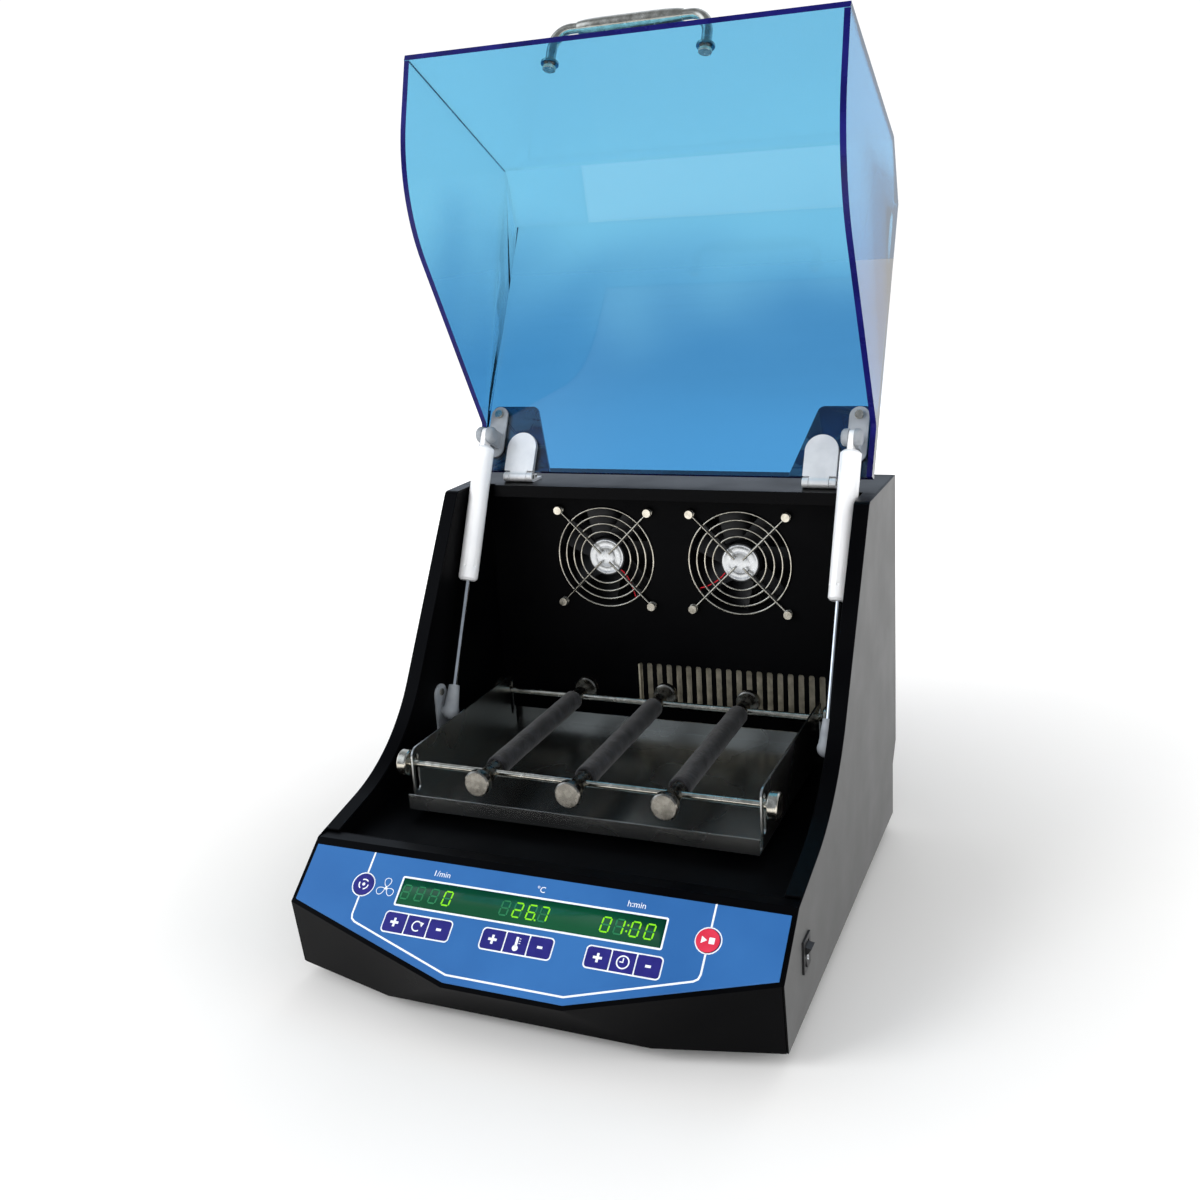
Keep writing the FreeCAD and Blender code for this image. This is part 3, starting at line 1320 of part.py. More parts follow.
def fixed_screw_places():
    """Screws that hold the fixed hinge leaves to the rail."""
    return [
        (side * HINGE_X + offset, HINGE_Y + FIXED_SCREW_Y)
        for side in (-1, 1)
        for offset in (-FIXED_SCREW_X, FIXED_SCREW_X)
    ]


def case_hinge_leaves():
    """The fixed leaf of each hinge on the rail, with two outer knuckles."""
    half = LEAF_WIDTH / 2
    clear = KNUCKLE_LENGTH / 2 + KNUCKLE_GAP
    top = WALL_TOP_Z + FIXED_LEAF
    plate = box(
        (HINGE_X - half, HINGE_X + half), (HINGE_Y, HINGE_Y + FIXED_LEAF_DEPTH), (WALL_TOP_Z, top)
    )
    notch = box(
        (HINGE_X - clear, HINGE_X + clear),
        (HINGE_Y, HINGE_Y + HINGE_KNUCKLE + KNUCKLE_GAP),
        (WALL_TOP_Z, top),
    )
    parts = [plate.cut(notch)]
    for x in (HINGE_X - half, HINGE_X + clear):
        parts.append(rod(HINGE_KNUCKLE, (x, HINGE_Y, HINGE_Z), (1, 0, 0), half - clear))
    tools = [rod(HINGE_PIN, (HINGE_X - half, HINGE_Y, HINGE_Z), (1, 0, 0), LEAF_WIDTH)]
    for x, y in fixed_screw_places():
        if x > 0:
            tools.append(rod(SCREW_RADIUS + SCREW_CLEARANCE, (x, y, WALL_TOP_Z), (0, 0, 1), FIXED_LEAF))
    return both_sides(drilled(joined(parts), tools))


def hinge_pins():
    start = (HINGE_X - LEAF_WIDTH / 2, HINGE_Y, HINGE_Z)
    return both_sides(rod(HINGE_PIN, start, (1, 0, 0), LEAF_WIDTH))


def stadium(width, length, x, y, z):
    """A plate with round ends, long in Y, centred on (x, y) and spanning the z pair."""
    radius = width / 2
    half = length / 2 - radius
    parts = [box((x - radius, x + radius), (y - half, y + half), z)]
    for end in (y - half, y + half):
        parts.append(rod(radius, (x, end, z[0]), (0, 0, 1), z[1] - z[0]))
    return joined(parts)


def strut_bracket():
    """Bracket under the cover: an oval flange and two domed ears with the strut's upper pin."""
    low = COVER_UNDER_Z - BRACKET_THICK
    flange = stadium(
        BRACKET_WIDTH, BRACKET_LENGTH, STRUT_X, COVER_END_Y - BRACKET_CENTRE, (low, COVER_UNDER_Z)
    )
    pivot_y, pivot_z = HINGE_Y - PIVOT_FORWARD, HINGE_Z - PIVOT_DROP
    parts = [flange]
    inner = TANG / 2 + SIDE_PLAY
    reach = inner + EAR_THICK
    for side in (-1, 1):
        ear = rod(EAR_RADIUS, (STRUT_X + side * inner, pivot_y, pivot_z), (side, 0, 0), EAR_THICK)
        rim = [edge for edge in ear.Edges if abs(edge.CenterOfMass.x - STRUT_X) > reach - RUNNING]
        parts.append(ear.makeFillet(EAR_DOME, rim))
        stem = sorted((STRUT_X + side * inner, STRUT_X + side * (reach - EAR_DOME)))
        parts.append(box(stem, (pivot_y - EAR_RADIUS, pivot_y + EAR_RADIUS), (pivot_z, low)))
    parts.append(rod(PIVOT_PIN, (STRUT_X - inner, pivot_y, pivot_z), (1, 0, 0), inner * 2))
    hole = rod(
        SCREW_RADIUS + SCREW_CLEARANCE,
        (STRUT_X, COVER_END_Y - BRACKET_SCREW, low),
        (0, 0, 1),
        BRACKET_THICK,
    )
    return joined(parts).cut(hole)


def strut_brackets():
    return [opened(half) for half in both_sides(strut_bracket())]


def screw(face, along, length, head=SCREW_HEAD, head_height=SCREW_HEAD_HEIGHT):
    """A pan-head screw: the head seats on face and the shank runs along."""
    way = V(*along)
    seat = V(*face)
    cap = Part.makeCylinder(head, head_height, seat - way * head_height, way)
    return cap.fuse(Part.makeCylinder(SCREW_RADIUS, length, seat, way))


def lid_screws():
    """Screws of the strut brackets and handle, from inside, and of the hinges, from outside."""
    screws = []
    low = COVER_UNDER_Z - BRACKET_THICK
    high = COVER_TOP_Z + BACKING
    for side in (-1, 1):
        bracket, *hinge = cover_screw_places(side)
        screws.append(screw((*bracket, low), (0, 0, 1), high - low))
        for x, y in hinge:
            length = BACKING + LID_SHEET + HINGE_SCREW_DEPTH
            screws.append(screw((x, y, high), (0, 0, -1), length))
        inside = (side * HANDLE_HALF, LID_FRONT_Y + LID_SHEET, HANDLE_Z)
        length = LID_SHEET + HANDLE_SCREW_DEPTH
        screws.append(screw(inside, (0, -1, 0), length, HANDLE_SCREW_HEAD))
    return [opened(one) for one in screws]


def lid_handle():
    """D-shaped pull: a bar with a thick grip, on two flanged posts."""
    bar_y = LID_FRONT_Y - HANDLE_REACH
    parts = [
        rod(HANDLE_ROD, (-HANDLE_HALF, bar_y, HANDLE_Z), (1, 0, 0), HANDLE_HALF * 2),
        turned(GRIP_RADIUS, (-GRIP_HALF, bar_y, HANDLE_Z), (1, 0, 0), GRIP_HALF * 2, KNOB_CHAMFER),
    ]
    tools = []
    for x in (-HANDLE_HALF, HANDLE_HALF):
        foot = (x, LID_FRONT_Y, HANDLE_Z)
        parts.append(rod(HANDLE_ROD, foot, (0, -1, 0), HANDLE_REACH))
        parts.append(rod(HANDLE_FLANGE, foot, (0, -1, 0), HANDLE_FLANGE_THICK))
        parts.append(Part.makeSphere(HANDLE_ROD, V(x, bar_y, HANDLE_Z)))
        tools.append(rod(SCREW_RADIUS, foot, (0, -1, 0), HANDLE_SCREW_DEPTH))
    return opened(drilled(joined(parts), tools))


# Gas struts, drawn with the lid open; lengths run from the upper pivot
BALL_Y = 10.5
BALL_Z = 130.5
TANG = 4.0
TANG_RADIUS = 6.0
TUBE_RADIUS = 8.3
TUBE_START = 10.8
TUBE_END = 128.0
TUBE_BORE = 7.1
TUBE_CAP = 4.0
TUBE_SHOULDER = 2.0
ROD_RADIUS = 2.5
PISTON_START = 86.0
PISTON_LENGTH = 8.0
SOCKET_TAPER = 22.0
SOCKET_SMALL = 4.5
SOCKET_RADIUS = 7.0
SOCKET_WIDE = 6.25
SOCKET_BLEND = 2.0
STUD_RADIUS = 3.5
WALL_PLATE = 2.0
WALL_PLATE_WIDTH = 18.0
WALL_PLATE_LENGTH = 46.0
WALL_SCREW_RISE = 16.5
WALL_SCREW_HEAD = 3.0
WALL_SCREW_HEAD_HEIGHT = 1.2
WALL_SCREW_LENGTH = 8.0
STUD_GAP = 0.3


def strut_line():
    """Upper pivot, unit direction down the strut, and its length, with the lid open."""
    turn = math.radians(LID_OPEN_ANGLE)
    cos, sin = math.cos(turn), math.sin(turn)
    top_y = HINGE_Y - PIVOT_FORWARD * cos - PIVOT_DROP * sin
    top_z = HINGE_Z + PIVOT_FORWARD * sin - PIVOT_DROP * cos
    top = V(STRUT_X, top_y, top_z)
    line = V(STRUT_X, BALL_Y, BALL_Z) - top
    return top, V(line).normalize(), line.Length


def strut_tube():
    """Pressure tube with a tang between the bracket ears and a guide cap at its lower end."""
    top, way, _ = strut_line()

    def turned_piece(radius, start, end):
        return Part.makeCylinder(radius, end - start, top + way * start, way)

    body = turned(TUBE_RADIUS, top + way * TUBE_START, way, TUBE_END - TUBE_START, TUBE_SHOULDER)
    body = body.cut(turned_piece(TUBE_BORE, TUBE_START + TUBE_CAP, TUBE_END - TUBE_CAP))
    body = body.cut(turned_piece(ROD_RADIUS + RUNNING, TUBE_END - TUBE_CAP, TUBE_END))
    left = V(TANG / 2, 0, 0)
    eye = Part.makeCylinder(TANG_RADIUS, TANG, top - left, V(1, 0, 0))
    neck = turned_piece(TANG_RADIUS, 0, TUBE_START + TUBE_CAP)
    slab = Part.makeBox(TANG, CASE_WIDTH, CASE_WIDTH)
    slab.translate(top - left - V(0, CASE_HALF, CASE_HALF))
    bore = Part.makeCylinder(PIVOT_PIN + RUNNING, TANG, top - left, V(1, 0, 0))
    return joined([body, eye, neck.common(slab)]).cut(bore)


def strut_rod():
    """Piston, rod and the tapered ball socket whose stud faces the wall plate."""
    top, way, length = strut_line()

    def turned_piece(radius, start, end):
        return Part.makeCylinder(radius, end - start, top + way * start, way)

    taper_start = length - SOCKET_TAPER
    cone = Part.makeCone(
        SOCKET_SMALL, SOCKET_WIDE, SOCKET_TAPER - SOCKET_BLEND, top + way * taper_start, way
    )
    stud_length = LINER_INSIDE - WALL_PLATE - STUD_GAP - STRUT_X
    return joined(
        [
            turned_piece(TUBE_BORE - RUNNING, PISTON_START, PISTON_START + PISTON_LENGTH),
            turned_piece(ROD_RADIUS, PISTON_START, taper_start + ROD_RADIUS),
            cone,
            Part.makeSphere(SOCKET_RADIUS, top + way * length),
            Part.makeCylinder(STUD_RADIUS, stud_length, top + way * length, V(1, 0, 0)),
        ]
    )


def wall_screw_places():
    return [(BALL_Y, BALL_Z - WALL_SCREW_RISE), (BALL_Y, BALL_Z + WALL_SCREW_RISE)]


def strut_wall_plates():
    """Oval plate on the chamber wall behind each lower ball joint."""
    flat = stadium(WALL_PLATE_WIDTH, WALL_PLATE_LENGTH, 0, 0, (0, WALL_PLATE))
    flat.rotate(V(0, 0, 0), V(1, 0, 0), 90)
    flat.rotate(V(0, 0, 0), V(0, 0, 1), 90)
    flat.translate(V(LINER_INSIDE - WALL_PLATE, BALL_Y, BALL_Z))
    tools = [
        rod(SCREW_RADIUS + SCREW_CLEARANCE, (LINER_INSIDE - WALL_PLATE, y, z), (1, 0, 0), WALL_PLATE)
        for y, z in wall_screw_places()
    ]
    return both_sides(drilled(flat, tools))


# Power supply board in the nose of the base
SUPPLY_X = (-125.0, 55.0)
SUPPLY_Y = (-185.0, -108.0)
SUPPLY_Z = 22.0
STANDOFF_RADIUS = 3.0
STANDOFF_INSET = 6.0
TRANSFORMER_AT = (-88.0, -146.0)
TRANSFORMER_SIZE = (44.0, 38.0, 25.0)
TRANSFORMER_CORE = 5.0
CAPACITORS = 3
CAPACITOR_AT = (-38.0, -165.0)
CAPACITOR_PITCH = 20.0
CAPACITOR_RADIUS = 8.0
CAPACITOR_HEIGHT = 22.0
SINK_AT = (-10.0, -128.0)
SINK_SIZE = (50.0, 18.0, 22.0)
SINK_FINS = 6
TERMINAL_AT = (38.0, -146.0)
TERMINAL_SIZE = (12.0, 50.0, 12.0)


def block_at(centre, size, low):
    return box(
        (centre[0] - size[0] / 2, centre[0] + size[0] / 2),
        (centre[1] - size[1] / 2, centre[1] + size[1] / 2),
        (low, low + size[2]),
    )


def power_board():
    """Supply board on standoffs: transformer, capacitors, heat sink and terminals."""
    top = SUPPLY_Z + BOARD_THICK
    parts = [box(SUPPLY_X, SUPPLY_Y, (SUPPLY_Z, top))]
    for x in (SUPPLY_X[0] + STANDOFF_INSET, SUPPLY_X[1] - STANDOFF_INSET):
        for y in (SUPPLY_Y[0] + STANDOFF_INSET, SUPPLY_Y[1] - STANDOFF_INSET):
            base = CASE_BOTTOM + SHEET
            parts.append(rod(STANDOFF_RADIUS, (x, y, base), (0, 0, 1), SUPPLY_Z - base))
    wide, deep, high = TRANSFORMER_SIZE
    parts.append(block_at(TRANSFORMER_AT, (wide, deep - TRANSFORMER_CORE * 2, high), top))
    parts.append(
        block_at(TRANSFORMER_AT, (wide - TRANSFORMER_CORE * 3, deep, high - TRANSFORMER_CORE), top)
    )
    for index in range(CAPACITORS):
        x, y = CAPACITOR_AT
        start = (x + index * CAPACITOR_PITCH, y, top)
        parts.append(rod(CAPACITOR_RADIUS, start, (0, 0, 1), CAPACITOR_HEIGHT))
    wide, deep, high = SINK_SIZE
    parts.append(block_at(SINK_AT, (wide, BOARD_THICK, high), top))
    for index in range(SINK_FINS):
        x = SINK_AT[0] + (index / (SINK_FINS - 1) - 1 / 2) * (wide - BOARD_THICK)
        parts.append(block_at((x, SINK_AT[1]), (BOARD_THICK, deep, high), top))
    parts.append(block_at(TERMINAL_AT, TERMINAL_SIZE, top))
    return joined(parts)


# Feet and the screws of the case
FOOT_RECESS = 5.0
FOOT_RECESS_DEPTH = 6.0
FOOT_CHAMFER = 1.5
FOOT_SCREW_LENGTH = 14.0
REAR_SCREW_LENGTH = 5.0
RAIL_SCREW_LENGTH = 6.0
NUT_RADIUS = 3.8
NUT_HEIGHT = 3.0


def rubber_feet():
    feet = []
    for x, y in foot_places():
        foot = turned(FOOT_RADIUS, (x, y, 0), (0, 0, 1), CASE_BOTTOM, FOOT_CHAMFER)
        tools = [
            rod(FOOT_RECESS, (x, y, 0), (0, 0, 1), FOOT_RECESS_DEPTH),
            rod(SCREW_RADIUS + SCREW_CLEARANCE, (x, y, 0), (0, 0, 1), CASE_BOTTOM),
        ]
        feet.append(drilled(foot, tools))
    return feet


def nut(start, along):
    return rod(NUT_RADIUS, start, along, NUT_HEIGHT).cut(rod(SCREW_RADIUS, start, along, NUT_HEIGHT))


def case_screws():
    """Hinge pins, and the screws of the feet, back, hinges, fans and wall plates, with their nuts."""
    pieces = hinge_pins()
    for x, y in foot_places():
        pieces.append(screw((x, y, FOOT_RECESS_DEPTH), (0, 0, 1), FOOT_SCREW_LENGTH))
        pieces.append(nut((x, y, CASE_BOTTOM + SHEET), (0, 0, 1)))
    for x, z in rear_screw_places():
        pieces.append(screw((x, REAR_Y, z), (0, -1, 0), REAR_SCREW_LENGTH))
        pieces.append(nut((x, REAR_Y - SHEET, z), (0, -1, 0)))
    for x, y in fixed_screw_places():
        pieces.append(screw((x, y, WALL_TOP_Z + FIXED_LEAF), (0, 0, -1), RAIL_SCREW_LENGTH))
    back = FAN_FRONT_Y + FAN_DEPTH
    for x, z in fan_screw_places():
        face = BACK_WALL_Y - EYELET_THICK
        pieces.append(screw((x, face, z), (0, 1, 0), back + NUT_HEIGHT - face))
        pieces.append(nut((x, back, z), (0, 1, 0)))
    inner = LINER_INSIDE - WALL_PLATE
    for side in (-1, 1):
        for y, z in wall_screw_places():
            seat = (side * inner, y, z)
            pieces.append(
                screw(seat, (side, 0, 0), WALL_SCREW_LENGTH, WALL_SCREW_HEAD, WALL_SCREW_HEAD_HEIGHT)
            )
            pieces.append(nut((side * (LINER_INSIDE + LINER), y, z), (side, 0, 0)))
    return pieces


def mirrored(shape):
    return both_sides(shape)[1]


def all_parts():
    """Every sub-part by name."""
    parts = {
        "base_pan": base_pan(),
        "front_fascia": front_fascia(),
        "left_side_panel": left_side_panel(),
        "right_side_panel": right_side_panel(),
        "rear_panel": rear_panel(),
        "top_rail": top_rail(),
        "chamber_side_walls": chamber_side_walls(),
        "chamber_back_wall": chamber_back_wall(),
        "chamber_floor": chamber_floor(),
        "control_overlay": control_overlay(),
        "display_board": display_board(),
        "power_board": power_board(),
        "heater_element": heater_element(),
        "drive_motor": drive_motor(),
        "drive_frame": drive_frame(),
        "frame_bearings": frame_bearings(),
        "drive_belt": drive_belt(),
        "power_inlet": power_inlet(),
        "rubber_feet": rubber_feet(),
        "case_screws": case_screws(),
        "fan_frames": [fan_frame(-FAN_X), fan_frame(FAN_X)],
        "fan_guards": fan_guard(-FAN_X) + fan_guard(FAN_X),
        "strut_wall_plates": strut_wall_plates(),
        "case_hinge_leaves": case_hinge_leaves(),
        "switch_frame": switch_frame(),
        "switch_rocker": power_rocker(),
        "lid_cover": lid_cover(),
        "lid_sides": lid_sides(),
        "lid_hinge_plates": lid_hinge_plates(),
        "strut_brackets": strut_brackets(),
        "lid_screws": lid_screws(),
        "lid_handle": lid_handle(),
        "strut_tube_left": mirrored(strut_tube()),
        "strut_tube_right": strut_tube(),
        "strut_rod_left": mirrored(strut_rod()),
        "strut_rod_right": strut_rod(),
        "drive_crank": drive_crank(),
        "idler_crank_left": idler_crank(1),
        "idler_crank_right": idler_crank(2),
        "motor_pulley": motor_pulley(),
        "tray_carrier": tray_carrier(),
        "carrier_bearings": carrier_bearings(),
        "tray": tray(),
        "fan_impeller_left": fan_impeller(-FAN_X),
        "fan_impeller_right": fan_impeller(FAN_X),
        "clamp_bars": clamp_bars(),
    }
    for index in range(ROLLERS):
        parts["roller_bar_%d" % (index + 1)] = roller_bar(index)
        parts["foam_sleeve_%d" % (index + 1)] = foam_sleeve(index)
    for name, x, down, is_round in key_places():
        parts[name] = key(x, down, is_round)
    return parts


os.makedirs("parts", exist_ok=True)
for part_name, part_shape in all_parts().items():
    if isinstance(part_shape, list):
        part_shape = Part.makeCompound(part_shape)
    part_shape.exportStep("parts/%s.step" % part_name)
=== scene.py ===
# %% [markdown]
# # Dressing an incubated benchtop shaker
#
# The CAD frame already has every piece at its real size. This lesson gives each piece its finish,
# rounds the edges that folded sheet and turned metal really have, and models what only the eye
# needs: the printed panel, the digits, the foam, the wire guards, the rotors, the pleated black
# sheet that puts painted shade behind the fans, the crimps of the strut tubes and the recesses of
# the screws.

# %% Load the frame
import bpy
import bmesh
import json
import math
from mathutils import Matrix, Vector, noise


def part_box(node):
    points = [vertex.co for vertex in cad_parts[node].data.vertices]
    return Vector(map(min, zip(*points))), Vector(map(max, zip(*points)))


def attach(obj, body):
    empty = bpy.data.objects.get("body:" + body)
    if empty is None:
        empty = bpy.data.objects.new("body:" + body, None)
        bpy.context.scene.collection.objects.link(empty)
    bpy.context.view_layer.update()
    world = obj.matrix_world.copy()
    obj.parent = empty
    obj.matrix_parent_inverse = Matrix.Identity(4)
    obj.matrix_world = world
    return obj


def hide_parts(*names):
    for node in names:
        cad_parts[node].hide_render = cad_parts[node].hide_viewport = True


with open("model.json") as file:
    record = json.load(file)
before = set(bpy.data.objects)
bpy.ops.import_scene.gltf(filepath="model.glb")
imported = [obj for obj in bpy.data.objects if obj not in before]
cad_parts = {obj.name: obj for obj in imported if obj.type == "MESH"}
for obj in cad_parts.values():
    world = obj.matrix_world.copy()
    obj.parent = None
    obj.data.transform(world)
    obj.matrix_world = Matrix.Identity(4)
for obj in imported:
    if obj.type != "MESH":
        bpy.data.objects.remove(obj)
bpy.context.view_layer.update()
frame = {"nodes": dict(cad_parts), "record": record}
MM = 0.001

# %% [markdown]
# ## The camera
#
# The place, aim and lens were found by matching the straight edges of the case. The camera is
# rolled a little, as a hand-held one is, and a small shift puts the machine where the photograph
# has it. Blender's camera looks along its own minus Z, so the three columns of its matrix are the
# picture's right, its up, and the direction back to the camera.

# %% Place the camera
CAMERA_AT = Vector((370.1, -887.6, 520.0)) * MM
CAMERA_AZIMUTH = math.radians(23.78)
CAMERA_ELEVATION = math.radians(14.40)
CAMERA_ROLL = math.radians(-3.57)
LENS_MM = 39.42
CAMERA_SHIFT = (0.0108, -0.0342)
put_in_scene = bpy.context.scene.collection.objects.link


def aimed(azimuth, elevation, roll):
    """The turn of a camera that looks from an azimuth and elevation, rolled about its axis."""
    back = Vector((
        math.sin(azimuth) * math.cos(elevation),
        -math.cos(azimuth) * math.cos(elevation),
        math.sin(elevation),
    ))
    level = Vector((0, 0, 1)).cross(back).normalized()
    upright = back.cross(level)
    right = level * math.cos(roll) + upright * math.sin(roll)
    up = upright * math.cos(roll) - level * math.sin(roll)
    return Matrix((right, up, back)).transposed()


camera = bpy.data.objects.new("camera", bpy.data.cameras.new("camera"))
camera.data.lens = LENS_MM
camera.data.shift_x, camera.data.shift_y = CAMERA_SHIFT
camera.matrix_world = Matrix.Translation(CAMERA_AT) @ aimed(
    CAMERA_AZIMUTH, CAMERA_ELEVATION, CAMERA_ROLL
).to_4x4()
put_in_scene(camera)
bpy.context.scene.camera = camera
print("camera at", [round(c, 3) for c in camera.location])

# %% [markdown]
# ## Colours and nodes
#
# Colours are chosen on screen as sRGB hex values, but shaders work in linear light, so one
# function turns the one into the other. Lengths are thought of in millimetres, and the scene is in
# metres. The last function adds any node, by its name without the family in front, with its
# settings and its links. Materials, node trees and the surround are all made with it.

# %% Helpers for colours and nodes
FAMILIES = ("ShaderNode", "GeometryNode", "FunctionNode", "Node")
QUARTER = math.pi / 2


def colour(hex_code):
    """A linear RGBA colour from an sRGB hex code."""
    parts = [int(hex_code[i:i + 2], 16) / 255 for i in (1, 3, 5)]
    linear = [c / 12.92 if c <= 0.04045 else ((c + 0.055) / 1.055) ** 2.4 for c in parts]
    return (*linear, 1)


def mm(*lengths):
    """A vector in metres from lengths in millimetres."""
    return Vector(lengths) * MM


def add(tree, kind, inputs=None):
    """Add a node with its settings and links: a node or a socket is linked, all else is set."""
    family = next(f for f in FAMILIES if hasattr(bpy.types, f + kind))
    made = tree.nodes.new(family + kind)
    for name, value in (inputs or {}).items():
        for source in value if isinstance(value, list) else [value]:
            if isinstance(source, bpy.types.Node):
                source = source.outputs[0]
            if isinstance(source, bpy.types.NodeSocket):
                tree.links.new(source, made.inputs[name])
            elif isinstance(name, str) and hasattr(made, name):
                setattr(made, name, source)
            else:
                made.inputs[name].default_value = source
    return made


print("middle grey in linear light", round(colour("#808080")[0], 3))

# %% [markdown]
# ## How a real surface varies
#
# No real surface has one colour or one gloss. Handling, plating and moulding leave soft patches a
# few centimetres wide, and the process leaves a relief of a millimetre or less: orange peel on
# paint, rolling lines on sheet, spark texture on plastic. Each finish below is those two layers
# with its own colours and sizes in millimetres. Noise mostly lies between 0.3 and 0.7, so that
# part of it is stretched over the whole range.

# %% A surface with patches and a relief


def new_material(name):
    """An empty material, with its node tree and the object's own coordinates."""
    material = bpy.data.materials.new(name)
    material.use_nodes = True
    material.node_tree.nodes.clear()
    return material, material.node_tree, add(material.node_tree, "TexCoord").outputs["Object"]


def surface(name, tones, gloss, patch_mm, relief_mm, depth_mm, shader=None, stretch=(1, 1, 1)):
    """A finish that drifts between two tones and two roughnesses, over a fine relief."""
    material, tree, place = new_material(name)
    patch = add(tree, "TexNoise", {"Scale": 1 / (patch_mm * MM), "Detail": 3.0, "Vector": place})
    part = add(tree, "MapRange", {"From Min": 0.3, "From Max": 0.7, "Value": patch})
    tone = add(tree, "Mix",
               {"data_type": "RGBA", 6: colour(tones[0]), 7: colour(tones[1]), 0: part})
    rough = add(tree, "MapRange", {"To Min": gloss[0], "To Max": gloss[1], "Value": part})
    along = add(tree, "Mapping", {"Scale": stretch, "Vector": place})
    fine = add(tree, "TexNoise", {"Scale": 1 / (relief_mm * MM), "Detail": 2.0, "Vector": along})
    relief = add(tree, "Bump", {"Distance": depth_mm * MM, "Height": fine})
    skin = add(tree, "BsdfPrincipled", {"Base Color": tone.outputs[2], "Roughness": rough,
                                        "Normal": relief, **(shader or {})})
    add(tree, "OutputMaterial", {"Surface": skin})
    return material


print("patches of 60 mm need a noise scale of", round(1 / (60 * MM), 1))

# %% [markdown]
# ## Painted steel
#
# The case is folded sheet steel under a semi-gloss powder coat. Powder melts into a skin with an
# orange peel about a millimetre across, which breaks up reflections. It is nearly black face on,
# and only mirrors at a grazing angle, so its reflectance is set low. Inside, the sheets have a
# flat stove paint that swallows light. The outer side skins are rubbed by every hand that lifts
# the machine, so they are rougher, with a bloom that only lights up at a grazing angle. Their
# base is painted far lighter than the coat: a painted reflection of the grey that the side shows
# at a grazing angle.

# %% Paints
POWDER_COAT = surface("semi_gloss_black_powder_coat", ("#020203", "#050506"), (0.26, 0.38), 60,
                      1.1, 0.014, {"Specular IOR Level": 0.05})
FLAT_PAINT = surface("flat_black_stove_paint", ("#020203", "#050506"), (0.42, 0.6), 50, 0.8, 0.01,
                     {"Specular IOR Level": 0.06})
# Side skins: base tones painted lighter than the front coat, a painted reflection at a grazing
# angle
SIDE_COAT_PAINTED_REFLECTION = surface("satin_black_side_coat_painted_lighter", ("#1e1e1d", "#2b2b29"), (0.46, 0.6), 45, 1.1, 0.014,
                    {"Specular IOR Level": 0.3, "Sheen Weight": 0.26, "Sheen Roughness": 0.45})
print("paints", POWDER_COAT.name, FLAT_PAINT.name, SIDE_COAT_PAINTED_REFLECTION.name)

# %% [markdown]
# ## Bare and plated metal
#
# The tray is bright stainless sheet: rolling leaves lines along one direction, so its relief is
# stretched fifty times. Bars, guards, handle and screws have a satin nickel plate, a little warmer
# than chrome, over drawn steel. The rollers' bars and knobs are turned steel, painted darker than
# the nickel as painted shade for the dark reflections on their faces. Hinge leaves are tumbled
# aluminium, pale and even, and the plates behind them bare steel. The strut rods are hard chromed
# and ground, almost a mirror.

# %% Metals
METAL = {"Metallic": 1.0}
STAINLESS = surface("rolled_stainless_sheet", ("#b9b9b5", "#d2d2cd"), (0.24, 0.3), 140, 0.8, 0.001,
                    METAL, (0.02, 1, 1))
NICKEL = surface("satin_nickel_plate", ("#b1ab9d", "#dfd9cb"), (0.14, 0.28), 5, 0.5, 0.003, METAL,
                 (1, 0.1, 1))
# Turned steel with tones painted darker: painted shade for the dark reflections on the knobs
TURNED_DARKENED = surface("turned_knob_steel_painted_darker", ("#77736b", "#aca79d"), (0.2, 0.34), 6, 0.5, 0.003, METAL,
                 (1, 0.1, 1))
CHROME = surface("hard_chrome", ("#dcdcde", "#f2f2f2"), (0.04, 0.12), 9, 0.4, 0.002, METAL)
ALUMINIUM = surface("tumbled_aluminium", ("#e4e6e8", "#f4f5f6"), (0.36, 0.48), 14, 0.5, 0.01,
                    {"Metallic": 0.6})
STEEL = surface("zinc_plated_steel", ("#a5a6a3", "#cfcfcc"), (0.2, 0.38), 4, 0.6, 0.005, METAL)
SHIELD = surface("galvanised_shield_sheet", ("#a09a88", "#cfc8b4"), (0.3, 0.5), 7, 0.6, 0.005,
                 {"Metallic": 0.35})
PLATE = surface("bare_backing_steel", ("#85888b", "#abaeb1"), (0.22, 0.36), 30, 0.5, 0.006, METAL)
FOIL = surface("printed_foil_label", ("#c9cbce", "#eceded"), (0.22, 0.38), 5, 0.3, 0.003,
               {"Metallic": 0.85})
print("materials with the metals", len(bpy.data.materials))

# %% [markdown]
# ## Lacquer, plastic and rubber
#
# The strut tubes have a silver-white lacquer, which scatters light over a metal base. Moulded
# plastic takes the spark-eroded texture of its mould and stays a little glossy. Rubber is
# rougher, with a bloom that lifts its black.

# %% Lacquer, plastics and rubber
LACQUER = surface("silver_white_lacquer", ("#f1f2f4", "#fbfbfc"), (0.28, 0.4), 25, 0.4, 0.004,
                  {"Metallic": 0.05, "Coat Weight": 0.4, "Coat Roughness": 0.1})
GREY_NYLON = surface("moulded_grey_nylon", ("#868b91", "#9da2a8"), (0.36, 0.48), 12, 0.4, 0.012)
BLACK_ABS = surface("moulded_black_abs", ("#0b0b0d", "#121214"), (0.36, 0.5), 12, 0.4, 0.012)
RUBBER = surface("moulded_black_rubber", ("#0e0e0f", "#1b1b1b"), (0.6, 0.75), 10, 0.8, 0.02)
RED_PVC = surface("red_pvc_insulation", ("#c01226", "#d8202f"), (0.3, 0.42), 5, 0.3, 0.004)
print("materials with the plastics", len(bpy.data.materials))

# %% [markdown]
# ## Foam
#
# The rollers wear closed-cell foam. Its cut cells, about a millimetre wide, make a relief that
# shows from a step away, and handling rubs pale scuffs into the black. Worley cells give the
# relief, and a broad noise the scuffs. A little sheen lights the torn cell edges at the rim.

# %% Closed-cell foam
CELL_MM = 1.2
SCUFF_MM = 9.0


